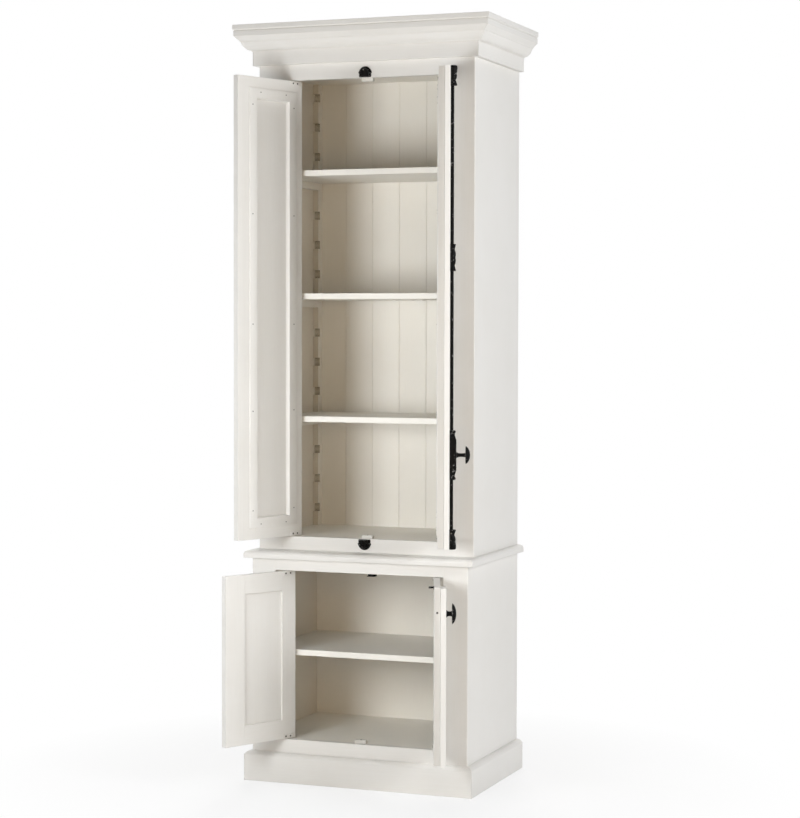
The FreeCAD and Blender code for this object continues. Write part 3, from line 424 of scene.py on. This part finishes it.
def coat_colour(material, tone, coat):
    # The outside and the inside of the case have their own whites; a case side carries the outside's
    # and, within, a darker and creamier white that is painted shade, and a rack carries a darker white as
    # painted shade except on the face that looks into the case.
    if coat == "outside":
        return blend(material, tone, PAINT_LOW, PAINT_HIGH)
    inside = blend(material, tone, INSIDE_LOW, INSIDE_HIGH)
    if coat == "inside":
        return inside
    if coat == "rack":
        # Painted shade on every rack face but the one that looks into the case
        return blend(material, inner_face(material), RACK_FRONT_SHADE, inside)
    outside = blend(material, tone, PAINT_LOW, PAINT_HIGH)
    # Painted shade on the faces that look into the case
    within_shade = blend(material, tone, SIDE_SHADE_LOW, SIDE_SHADE_HIGH)
    return blend(material, inner_face(material), outside, within_shade)


def paint(name, strokes, coat="outside", hollows=PLAIN_HOLLOWS):
    # Brushed oil paint on wood: faint strokes, mottling, rubbed arrises, and dust with painted shade in the
    # hollows.
    reach, start, full, most, dust_and_shade_colour = hollows
    material, shader = new_material(name)
    coords = add(material, "TexCoord").outputs["Object"]
    stretch = add(material, "VectorMath", {0: coords, 1: STROKES[strokes]}, operation="MULTIPLY")
    stroke = noise(material, stretch.outputs["Vector"], scale=1.0, detail=5.0, roughness=0.6, distortion=0.25)
    mottle = noise(material, coords, scale=3.2, detail=6.0, roughness=0.62)
    fine = noise(material, coords, scale=240.0, detail=3.0)
    rounded = rounded_normal(material, PAINT_ROUND)
    tone = plus(
        material,
        spread(material, mottle, *MOTTLE_TONE),
        spread(material, stroke, *STROKE_TONE),
    )
    colour = coat_colour(material, tone, coat)
    rub = times(material, edge_mask(material, rounded), spread(material, mottle, *RUB_PATCHES))
    colour = blend(material, rub, colour, WORN)
    # Dust and painted shade: darker where the paint's own mesh closes round a hollow
    hollow = add(material, "AmbientOcclusion", {"Distance": reach}, samples=SHADER_SAMPLES, only_local=True)
    depth = spread(material, hollow.outputs["AO"], (start, full), (0.0, most))
    dust_and_shade = times(material, depth, spread(material, fine, *DUST_AND_SHADE_PATCHES))
    colour = blend(material, dust_and_shade, colour, dust_and_shade_colour)
    connect(material, colour, shader, "Base Color")
    connect(material, spread(material, stroke, *STROKE_ROUGHNESS), shader, "Roughness")
    height = plus(material, times(material, stroke, STROKE_HEIGHT), times(material, fine, FINE_HEIGHT))
    bump = add(material, "Bump", {"Height": height, "Normal": rounded, **PAINT_BUMP})
    connect(material, bump.outputs["Normal"], shader, "Normal")
    return material


def wear_and_glint_colour(material, coords, mottle, rounded, colour, wear_and_glint):
    # Rubbed arrises and flecks: worn bare metal, which on the black iron is light and is painted glints as
    # well.
    rub = times(material, edge_mask(material, rounded), spread(material, mottle, *CAST_RUB_AND_GLINT_PATCHES))
    colour = blend(material, rub, colour, wear_and_glint)
    flecks = spread(material, noise(material, coords, scale=130.0, detail=2.0), *CAST_FLECKS)
    return blend(material, flecks, colour, wear_and_glint)


def finish_coat(name, low, high, rough, grain_scale, strength, wear_and_glint=None, metallic=0.0, shine=0.5):
    # Cast, moulded or turned pieces: mottled colour, fine surface grain, rubbed edges and flecks, which on
    # the black iron are lighter and are painted glints as well as wear.
    material, shader = new_material(name)
    coords = add(material, "TexCoord").outputs["Object"]
    mottle = noise(material, coords, scale=45.0, detail=5.0, roughness=0.6)
    grain = noise(material, coords, scale=grain_scale, detail=3.0)
    rounded = rounded_normal(material, CAST_ROUND)
    colour = blend(material, spread(material, mottle, *CAST_TONE), low, high)
    if wear_and_glint:
        colour = wear_and_glint_colour(material, coords, mottle, rounded, colour, wear_and_glint)
    connect(material, colour, shader, "Base Color")
    roughness = spread(material, mottle, CAST_ROUGH_SPAN, (rough - SMOOTHER, rough + ROUGHER))
    connect(material, roughness, shader, "Roughness")
    inputs = {"Height": grain, "Normal": rounded, "Strength": strength, "Distance": CAST_BUMP_DISTANCE}
    connect(material, add(material, "Bump", inputs).outputs["Normal"], shader, "Normal")
    shader.inputs["Metallic"].default_value = metallic
    shader.inputs["Specular IOR Level"].default_value = shine
    return material


def make_materials():
    iron = finish_coat(
        "black_iron", IRON_LOW, IRON_HIGH,
        rough=0.40, grain_scale=900.0, strength=0.35, wear_and_glint=IRON_WEAR_AND_GLINT, shine=0.05,
    )
    metal = finish_coat(
        "white_enamel", METAL_LOW, METAL_HIGH,
        rough=0.36, grain_scale=500.0, strength=0.12, wear_and_glint=WORN,
    )
    plastic = finish_coat(
        "white_plastic", PLASTIC_LOW, PLASTIC_HIGH,
        rough=0.40, grain_scale=1400.0, strength=0.10,
    )
    nail = finish_coat(
        "nail_steel", NAIL_LOW, NAIL_HIGH,
        rough=0.48, grain_scale=1200.0, strength=0.2, metallic=0.6,
    )
    screw = finish_coat(
        "dark_screw", SCREW_LOW, SCREW_HIGH,
        rough=0.42, grain_scale=1200.0, strength=0.2, metallic=0.6,
    )
    return {
        "upright": paint("paint_upright", "upright"),
        "level": paint("paint_level", "level"),
        "inside_upright": paint("inside_paint_upright", "upright", "inside"),
        "inside_along_x": paint("inside_paint_along_x", "along_x", "inside"),
        "inside_along_y": paint("inside_paint_along_y", "along_y", "inside"),
        "case_side": paint("paint_case_side", "upright", "both"),
        "rack": paint("paint_rack", "upright", "rack", NOTCH_HOLLOWS),
        "iron": iron,
        "metal": metal,
        "plastic": plastic,
        "nail": nail,
        "screw": screw,
    }


def node_material(name, slot, materials):
    # The paint's strokes follow the length of the wood.
    if slot in SLOT_MATERIALS:
        return materials[SLOT_MATERIALS[slot]]
    if name == "shelf_racks":
        return materials["rack"]
    if name == "shelf_bearers":
        return materials["inside_along_y"]
    if name in ("lower_back", "upper_back_boards"):
        return materials["inside_upright"]
    if "_side_" in name:
        return materials["case_side"]
    if any(word in name for word in SHELF_WORDS):
        return materials["inside_along_x"]
    if any(word in name for word in LEVEL_WORDS):
        return materials["level"]
    return materials["upright"]


def dress_nodes(materials):
    slots = {row["node"]: row["material_slot"] for row in frame["record"]["subparts"]}
    for name, node in frame["nodes"].items():
        node.data.materials.clear()
        node.data.materials.append(node_material(name, slots[name], materials))


def door_turn(name):
    # From the closed leaf's place to where it stands in the photograph.
    door = DOORS[name]
    pivot = Matrix.Translation((door.side * (HINGE_EDGE - door.inset), door.front + PIVOT_DEPTH, 0))
    return pivot @ Matrix.Rotation(math.radians(door.side * door.angle), 4, "Z") @ pivot.inverted()


def leaf_point(name, u, v, z):
    # A point of the closed leaf: u from its hinge edge, v from its front face.
    door = DOORS[name]
    return Vector((door.side * (HINGE_EDGE - u), door.front + v, z))


def facing(point, direction):
    # A frame at the point whose Z looks along the direction.
    turn = Vector(direction).to_track_quat("Z", "Y").to_matrix().to_4x4()
    return Matrix.Translation(point) @ turn


def string_loops(bm, loops):
    # Skins a row of loops of equal counts and closes both ends.
    around = len(loops[0])
    for low, high in zip(loops, loops[1:]):
        for index in range(around):
            after = (index + 1) % around
            bm.faces.new((low[index], low[after], high[after], high[index]))
    for loop in (loops[0], loops[-1]):
        bm.faces.new(loop)


def turned(bm, profile, place, segments):
    # Revolves a list of radius and height pairs about the place's Z.
    rings = []
    for radius, height in profile:
        ring = []
        for index in range(segments):
            turn = 2 * math.pi * index / segments
            spot = Vector((radius * math.cos(turn), radius * math.sin(turn), height))
            ring.append(bm.verts.new(place @ spot))
        rings.append(ring)
    string_loops(bm, rings)


def finish_piece(name, bm, body, material, smooth_deg=SMOOTH_DEG):
    bmesh.ops.recalc_face_normals(bm, faces=bm.faces)
    for face in bm.faces:
        face.smooth = True
    for edge in bm.edges:
        if len(edge.link_faces) == 2:
            edge.smooth = edge.calc_face_angle() < math.radians(smooth_deg)
    mesh = bpy.data.meshes.new(name)
    bm.to_mesh(mesh)
    bm.free()
    piece = bpy.data.objects.new(name, mesh)
    bpy.context.scene.collection.objects.link(piece)
    mesh.materials.append(material)
    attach(piece, body)
    return piece


def nail_head(bm, place):
    profile = [(NAIL_RADIUS * NAIL_SUNK_SHARE, -NAIL_SUNK)]
    profile += [(NAIL_RADIUS * wide, NAIL_RISE * up) for wide, up in NAIL_DOME]
    turned(bm, profile, place, NAIL_SEGMENTS)


def screw_head(bm, place, radius, slot_turn):
    # A low domed head with a driver slot across it.
    rise = radius * SCREW_RISE
    place = place @ Matrix.Rotation(slot_turn, 4, "Z")
    loops = []
    for step in range(SCREW_RINGS + 1):
        share = 1 - step / SCREW_RING_SPAN
        loop = []
        for index in range(SCREW_SEGMENTS):
            turn = 2 * math.pi * index / SCREW_SEGMENTS
            x = radius * share * math.cos(turn)
            y = radius * share * math.sin(turn)
            height = rise * (1 - share * share) ** SCREW_DOME_POWER if step else -SCREW_SUNK
            if step and abs(y) < radius * SCREW_SLOT:
                height = min(height, rise * SCREW_SLOT_FLOOR)
            loop.append(bm.verts.new(place @ Vector((x, y, height))))
        loops.append(loop)
    string_loops(bm, loops)


def bead_nails(materials):
    spots = []
    run = SIGHT_Z[1] - SIGHT_Z[0]
    for share in NAIL_SHARES:
        z = SIGHT_Z[0] + run * share
        spots.append((SIGHT_U[0] - NAIL_FROM_SIGHT, z))
        spots.append((SIGHT_U[1] + NAIL_FROM_SIGHT, z))
    for u in (SIGHT_U[0] + NAIL_FROM_CORNER, SIGHT_U[1] - NAIL_FROM_CORNER):
        spots.append((u, SIGHT_Z[0] - NAIL_FROM_SIGHT))
        spots.append((u, SIGHT_Z[1] + NAIL_FROM_SIGHT))
    for door in BEADED_DOORS:
        bm = bmesh.new()
        turn = door_turn(door)
        for u, z in spots:
            nail_head(bm, turn @ facing(leaf_point(door, u, MOULD_FACE, z), BACKWARD))
        finish_piece(door + "_bead_nails", bm, door + "_door", materials["nail"])


def mould_section():
    # Points of the moulding's section: distance inward from the sight line, and from the leaf's front.
    seat = BEAD_FACE - MOULD_SUNK
    foot = PANEL_BACK - MOULD_SUNK
    section = [
        (-MOULD_SUNK, foot),
        (-MOULD_SUNK, seat),
        (-BEAD_WIDTH, seat),
        (-BEAD_WIDTH, MOULD_FACE - MOULD_ROUND),
        (-BEAD_WIDTH + MOULD_ARRIS, MOULD_FACE - MOULD_ARRIS),
        (-BEAD_WIDTH + MOULD_ROUND, MOULD_FACE),
    ]
    for step in range(SLOPE_STEPS + 1):
        share = step / SLOPE_STEPS
        drop = (MOULD_FACE - PANEL_BACK) * share
        crown = SLOPE_CROWN * math.sin(math.pi * share)
        inward = SLOPE_FROM + (SLOPE_TO - SLOPE_FROM) * share
        section.append((inward + crown, MOULD_FACE - drop))
    section.append((SLOPE_TO, foot))
    return section


def bead_mouldings(materials):
    # The section carried round the panel, mitred at the corners.
    for door in BEADED_DOORS:
        bm = bmesh.new()
        turn = door_turn(door)
        loops = []
        for inward, v in mould_section():
            near, far = SIGHT_U[0] + inward, SIGHT_U[1] - inward
            low, high = SIGHT_Z[0] + inward, SIGHT_Z[1] - inward
            corners = ((near, low), (far, low), (far, high), (near, high))
            loops.append([bm.verts.new(turn @ leaf_point(door, u, v, z)) for u, z in corners])
        for first, second in zip(loops, loops[1:] + loops[:1]):
            for index in range(len(first)):
                after = (index + 1) % len(first)
                bm.faces.new((first[index], first[after], second[after], second[index]))
        name = door + "_bead_moulding"
        finish_piece(name, bm, door + "_door", materials["upright"], MOULD_SMOOTH_DEG)


def leg_screws(materials):
    for name, door in DOORS.items():
        bm = bmesh.new()
        turn = door_turn(name)
        for z in (door.span[0] + LEG_HEIGHT / 2, door.span[1] - LEG_HEIGHT / 2):
            for u in (door.inset - LEG_SCREW_FROM_PIVOT, door.inset + LEG_SCREW_FROM_PIVOT):
                place = turn @ facing(leaf_point(name, u, LEG_OUT, z), BACKWARD)
                screw_head(bm, place, LEG_SCREW, LEG_TURN_START + LEG_TURN_ACROSS * u + z)
        finish_piece(name + "_leg_screws", bm, name + "_door", materials["screw"])


def knob_head(bm, place, shape):
    # Oval from the front, a crescent from the side: closed loops strung along the length.
    back = shape.tip * HEAD_BACK_SHARE
    loops = []
    for step in range(1, HEAD_SECTIONS):
        share = -math.cos(math.pi * step / HEAD_SECTIONS)
        round_end = (1 - abs(share) ** HEAD_END_POWER) ** 0.5
        half = shape.width / 2 * (1 - abs(share) ** HEAD_SIDE_POWER) ** 0.5
        crown = (shape.tip + (shape.thickness - shape.tip) * (1 - share * share)) * round_end
        loop = []
        for index in range(HEAD_AROUND):
            turn = 2 * math.pi * index / HEAD_AROUND
            across = math.copysign(abs(math.cos(turn)) ** HEAD_SQUARENESS, math.cos(turn))
            lift = math.sin(turn)
            out = back + (crown - back) * lift if lift > 0 else back * (1 + lift * round_end)
            loop.append(bm.verts.new(place @ Vector((half * across, shape.length / 2 * share, out))))
        loops.append(loop)
    string_loops(bm, loops)


def knob(name, door, seat, level, shape, body, materials):
    place = door_turn(door) @ facing(Vector((0, DOORS[door].front - seat, level)), FORWARD)
    rise = shape.collar_rise
    end = rise + shape.stem_length
    profile = [(shape.collar_radius * wide, rise * up) for wide, up in COLLAR_OUTLINE]
    profile.append((shape.waist * STEM_FOOT, rise * STEM_FOOT_RISE))
    profile += [(shape.waist * wide, rise + shape.stem_length * up) for wide, up in STEM_OUTLINE]
    profile.append((shape.waist * STEM_END, end + STEM_INTO_HEAD))
    bm = bmesh.new()
    turned(bm, profile, place, KNOB_SEGMENTS)
    knob_head(bm, place @ Matrix.Translation((0, 0, end)), shape)
    piece = finish_piece(name + "_cast", bm, body, materials["iron"])
    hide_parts(name)


def guide_barrel(bm, turn, profile, plate):
    # A closed outline turned about the rod, over the part that stands proud of the plate.
    set_back = ROD_OUT - plate
    rings = []
    for radius, level in profile:
        reach = math.pi / 2 + math.asin(set_back / radius)
        ring = []
        for index in range(GUIDE_SEGMENTS + 1):
            angle = reach * (2 * index / GUIDE_SEGMENTS - 1)
            x = radius * math.sin(angle)
            out = ROD_OUT + radius * math.cos(angle)
            ring.append(bm.verts.new(turn @ Vector((x, ASTRAGAL_FRONT - out, level))))
        rings.append(ring)
    for low, high in zip(rings, rings[1:] + rings[:1]):
        for index in range(GUIDE_SEGMENTS):
            bm.faces.new((low[index], low[index + 1], high[index + 1], high[index]))
    for index in (0, GUIDE_SEGMENTS):
        bm.faces.new([ring[index] for ring in rings])


def guide_plate(bm, turn, span):
    # A flat plate with clipped corners and an eased front edge.
    low, high = span
    right = [
        (GUIDE_HALF_WIDTH - GUIDE_CLIP, low),
        (GUIDE_HALF_WIDTH, low + GUIDE_CLIP),
        (GUIDE_HALF_WIDTH, high - GUIDE_CLIP),
        (GUIDE_HALF_WIDTH - GUIDE_CLIP, high),
    ]
    outline = right + [(-x, z) for x, z in reversed(right)]
    middle = (low + high) / 2
    loops = []
    for out, inset in ((0, 0), (GUIDE_PLATE - GUIDE_EDGE, 0), (GUIDE_PLATE, GUIDE_EDGE)):
        loop = []
        for x, z in outline:
            x_in = x - math.copysign(inset, x)
            z_in = z - math.copysign(inset, z - middle)
            loop.append(bm.verts.new(turn @ Vector((x_in, ASTRAGAL_FRONT - out, z_in))))
        loops.append(loop)
    string_loops(bm, loops)


def bolt_guides(materials):
    turn = door_turn("upper_right")
    bm = bmesh.new()
    for span in GUIDE_SPANS:
        guide_plate(bm, turn, span)
    low_guide, middle_guide, high_guide = GUIDE_SPANS
    guide_barrel(bm, turn, [(radius, low_guide[1] - z) for radius, z in END_GUIDE], GUIDE_PLATE)
    guide_barrel(bm, turn, [(radius, high_guide[0] + z) for radius, z in END_GUIDE], GUIDE_PLATE)
    profile = [(radius, middle_guide[0] + z) for radius, z in MIDDLE_GUIDE_HALF]
    profile += [(radius, middle_guide[1] - z) for radius, z in reversed(MIDDLE_GUIDE_HALF)]
    guide_barrel(bm, turn, profile, GUIDE_PLATE)
    piece = finish_piece("bolt_guides_cast", bm, "upper_right_door", materials["iron"])
    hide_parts("bolt_guides")


def bolt_case_rings(materials):
    turn = door_turn("upper_right")
    bm = bmesh.new()
    for way in (-1, 1):
        profile = [(radius, BOLT_AXIS + way * z) for radius, z in CASE_RING_OUTLINE]
        guide_barrel(bm, turn, profile, CASE_RING_SEAT)
    finish_piece("bolt_case_rings", bm, "upper_right_door", materials["iron"])


def bolt_screws(materials):
    turn = door_turn("upper_right")
    screws = []
    for low, high in GUIDE_SPANS:
        middle = (low + high) / 2
        screws += [(-GUIDE_SCREW_X, middle, GUIDE_PLATE), (GUIDE_SCREW_X, middle, GUIDE_PLATE)]
    for level in (BOLT_AXIS - CASE_SCREW_RISE, BOLT_AXIS + CASE_SCREW_RISE):
        screws += [(-CASE_SCREW_X, level, CASE_DEPTH), (CASE_SCREW_X, level, CASE_DEPTH)]
    bm = bmesh.new()
    for x, level, out in screws:
        place = turn @ facing(Vector((x, ASTRAGAL_FRONT - out, level)), FORWARD)
        screw_head(bm, place, BOLT_SCREW, x * BOLT_TURN_ACROSS + level * BOLT_TURN_UP)
    finish_piece("bolt_screws", bm, "upper_right_door", materials["screw"])


def boss_loop(half, depth, centre):
    # Points round the boss at one level, at even angles about the centre: a rounded front, a flat back.
    points = []
    for index in range(BOSS_AROUND):
        turn = 2 * math.pi * index / BOSS_AROUND
        inside, outside = 0.0, half + depth
        for _ in range(BOSS_HALVINGS):
            reach = (inside + outside) / 2
            x = reach * math.cos(turn)
            out = centre + reach * math.sin(turn)
            held = out >= 0 and (abs(x) / half) ** BOSS_POWER + (max(out, 0) / depth) ** BOSS_POWER <= 1
            inside, outside = (reach, outside) if held else (inside, reach)
        points.append((inside * math.cos(turn), centre + inside * math.sin(turn)))
    return points


def keeper_boss(bm, base, way):
    # A hood open at its foot, with a blind bore for the rod.
    bore = []
    for index in range(BOSS_AROUND):
        turn = 2 * math.pi * index / BOSS_AROUND
        bore.append((BOSS_BORE * math.cos(turn), BOSS_BORE_OUT + BOSS_BORE * math.sin(turn)))
    levels = [(bore, BOSS_BORE_DEPTH), (bore, 0.0)]
    for share in BOSS_LEVEL_SHARES:
        half = BOSS_HALF * (1 - share ** BOSS_HALF_POWER) ** 0.5
        depth = BOSS_DEPTH * (1 - share ** BOSS_DEPTH_POWER) ** 0.5
        centre = BOSS_BORE_OUT if share == 0.0 else depth * BOSS_MIDDLE_SHARE
        levels.append((boss_loop(half, depth, centre), BOSS_HEIGHT * share))
    loops = []
    for outline, rise in levels:
        z = base + way * rise
        loops.append([bm.verts.new(Vector((x, UPPER_FRONT - out, z))) for x, out in outline])
    string_loops(bm, loops)


def bolt_keepers(materials):
    bm = bmesh.new()
    outline = KEEPER_OUTLINE + [(0.0, KEEPER_CROWN)] + [(-x, z) for x, z in reversed(KEEPER_OUTLINE)]
    middle = KEEPER_CROWN / 2
    for base, way in KEEPER_LEVELS:
        loops = []
        for out_share, share in KEEPER_LAYERS:
            y = UPPER_FRONT - KEEPER_PLATE * out_share
            loop = []
            for x, z in outline:
                z_in = middle + (z - middle) * share
                loop.append(bm.verts.new(Vector((x * share, y, base + way * z_in))))
            loops.append(loop)
        string_loops(bm, loops)
        keeper_boss(bm, base, way)
    piece = finish_piece("bolt_keepers_cast", bm, "cabinet", materials["iron"])
    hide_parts("bolt_keepers")


def cornice(materials):
    # The outline carried from the back, round both front corners and to the back again.
    bm = bmesh.new()
    loops = []
    for side, at_front in ((-1, 0), (-1, 1), (1, 1), (1, 0)):
        loop = []
        for inward, drop in CORNICE_OUTLINE:
            out = CORNICE_REACH - inward
            y = -(CORNICE_DEPTH + out) * at_front
            loop.append(bm.verts.new(Vector((side * (CORNICE_HALF + out), y, CORNICE_TOP - drop))))
        loops.append(loop)
    string_loops(bm, loops)
    level = materials["level"]
    piece = finish_piece("cornice_moulding", bm, "cabinet", level, CORNICE_SMOOTH_DEG)
    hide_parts("cornice")


def cabinet_screws(materials):
    bm = bmesh.new()
    for x in (-KEEPER_SCREW_X, KEEPER_SCREW_X):
        for base, way in KEEPER_LEVELS:
            spot = Vector((x, UPPER_FRONT - KEEPER_PLATE, base + way * KEEPER_SCREW_RISE))
            screw_head(bm, facing(spot, FORWARD), KEEPER_SCREW, x * KEEPER_TURN_ACROSS + base)
    for x in CATCH_SCREW_XS:
        spot = Vector((x, CATCH_SCREW_Y, CATCH_SCREW_LEVEL))
        screw_head(bm, facing(spot, BACKWARD), STOP_SCREW, x * CATCH_TURN_ACROSS)
    for spot, direction, slot_turn in STOP_SCREWS:
        screw_head(bm, facing(Vector(spot), direction), STOP_SCREW, slot_turn)
    finish_piece("cabinet_screws", bm, "cabinet", materials["screw"])


def lower_right_screws(materials):
    bm = bmesh.new()
    turn = door_turn("lower_right")
    for x in TONGUE_SCREW_XS:
        spot = Vector((x, LOWER_FRONT + LEAF + TONGUE_PLATE, TONGUE_SCREW_LEVEL))
        screw_head(bm, turn @ facing(spot, BACKWARD), TONGUE_SCREW, x * TONGUE_TURN_ACROSS)
    spot = Vector((MEETING_GAP / 2, LOWER_FRONT + LEAF / 2, EDGE_SCREW_LEVEL))
    screw_head(bm, turn @ facing(spot, LEFTWARD), EDGE_SCREW, EDGE_SCREW_TURN)
    finish_piece("lower_right_screws", bm, "lower_right_door", materials["screw"])


def add_camera():
    yaw = math.radians(CAMERA_YAW_DEG)
    pitch = math.radians(CAMERA_PITCH_DEG)
    roll = math.radians(CAMERA_ROLL_DEG)
    ahead = Vector((-math.sin(yaw), math.cos(yaw), 0))
    right = Vector((math.cos(yaw), math.sin(yaw), 0))
    up = Vector((0, 0, 1))
    view = math.cos(pitch) * ahead - math.sin(pitch) * up
    over = math.cos(pitch) * up + math.sin(pitch) * ahead
    tilted_right = math.cos(roll) * right + math.sin(roll) * over
    tilted_up = math.cos(roll) * over - math.sin(roll) * right
    camera_data = bpy.data.cameras.new("camera")
    camera_data.sensor_fit = "HORIZONTAL"
    camera_data.sensor_width = SENSOR_MM
    camera_data.lens = LENS_MM
    camera = bpy.data.objects.new("camera", camera_data)
    turn = Matrix((tilted_right, tilted_up, -view)).transposed().to_4x4()
    camera.matrix_world = Matrix.Translation(CAMERA_PLACE) @ turn
    bpy.context.scene.collection.objects.link(camera)
    bpy.context.scene.camera = camera


def soft_box(name, place, target, width, power, colour):
    lamp = bpy.data.lights.new(name, "AREA")
    lamp.shape = "SQUARE"
    lamp.size = width
    lamp.energy = power
    lamp.color = colour
    holder = bpy.data.objects.new(name, lamp)
    aim = Vector(target) - Vector(place)
    turn = aim.to_track_quat("-Z", "Y").to_matrix().to_4x4()
    holder.matrix_world = Matrix.Translation(place) @ turn
    bpy.context.scene.collection.objects.link(holder)


def add_world():
    # White where the camera or a reflection looks past the object, and a faint sky as light.
    world = bpy.data.worlds.new("studio")
    bpy.context.scene.world = world
    world.use_nodes = True
    tree = world.node_tree
    lit = tree.nodes["Background"]
    lit.inputs["Color"].default_value = SKY_COLOUR
    lit.inputs["Strength"].default_value = SKY
    white = tree.nodes.new("ShaderNodeBackground")
    white.inputs["Color"].default_value = WHITE
    white.inputs["Strength"].default_value = 1.0
    path = tree.nodes.new("ShaderNodeLightPath")
    seen = path.outputs["Is Camera Ray"]
    for other in ("Is Glossy Ray", "Is Transmission Ray"):
        either = tree.nodes.new("ShaderNodeMath")
        either.operation = "MAXIMUM"
        tree.links.new(seen, either.inputs[0])
        tree.links.new(path.outputs[other], either.inputs[1])
        seen = either.outputs[0]
    mix = tree.nodes.new("ShaderNodeMixShader")
    tree.links.new(seen, mix.inputs[0])
    tree.links.new(lit.outputs[0], mix.inputs[1])
    tree.links.new(white.outputs[0], mix.inputs[2])
    tree.links.new(mix.outputs[0], tree.nodes["World Output"].inputs[0])


def add_floor():
    # A pale floor that takes the cupboard's shadow and fades into the white background.
    bm = bmesh.new()
    bmesh.ops.create_circle(bm, cap_ends=True, radius=FLOOR_RADIUS, segments=FLOOR_SEGMENTS)
    mesh = bpy.data.meshes.new("floor")
    bm.to_mesh(mesh)
    bm.free()
    floor = bpy.data.objects.new("floor", mesh)
    floor.location = FLOOR_PLACE
    bpy.context.scene.collection.objects.link(floor)
    material, shader = new_material("floor_paint")
    mesh.materials.append(material)
    coords = add(material, "TexCoord").outputs["Object"]
    speck = noise(material, coords, scale=40.0, detail=4.0)
    connect(material, blend(material, speck, FLOOR_LOW, FLOOR_HIGH), shader, "Base Color")
    shader.inputs["Roughness"].default_value = FLOOR_ROUGHNESS
    white = add(material, "Emission", {"Color": WHITE, "Strength": 1.0}).outputs[0]
    away = add(material, "VectorMath", {0: coords}, operation="LENGTH").outputs["Value"]
    fade = spread(material, away, FLOOR_FADE, FLOOR_FADE_SHARES)
    path = add(material, "LightPath").outputs
    mirrored = plus(material, path["Is Glossy Ray"], path["Is Transmission Ray"])
    seen = plus(material, path["Is Camera Ray"], mirrored)
    mixed = add(material, "MixShader", {0: times(material, fade, seen), 1: shader.outputs[0], 2: white})
    output = material.node_tree.nodes["Material Output"]
    material.node_tree.links.new(mixed.outputs[0], output.inputs["Surface"])


def main():
    materials = make_materials()
    dress_nodes(materials)
    bead_nails(materials)
    bead_mouldings(materials)
    leg_screws(materials)
    knob("bolt_knob", "upper_right", BOLT_KNOB_SEAT, BOLT_AXIS, BOLT_KNOB, "bolt_knob", materials)
    knob("lower_knob", "lower_right", ASTRAGAL, LOWER_KNOB_LEVEL, LOWER_KNOB, "lower_right_door", materials)
    bolt_guides(materials)
    bolt_case_rings(materials)
    bolt_screws(materials)
    bolt_keepers(materials)
    cornice(materials)
    cabinet_screws(materials)
    lower_right_screws(materials)
    add_camera()
    for lamp in LAMPS:
        soft_box(*lamp)
    add_world()
    add_floor()
    bpy.context.scene.view_settings.view_transform = "Standard"


main()
bpy.context.view_layer.update()
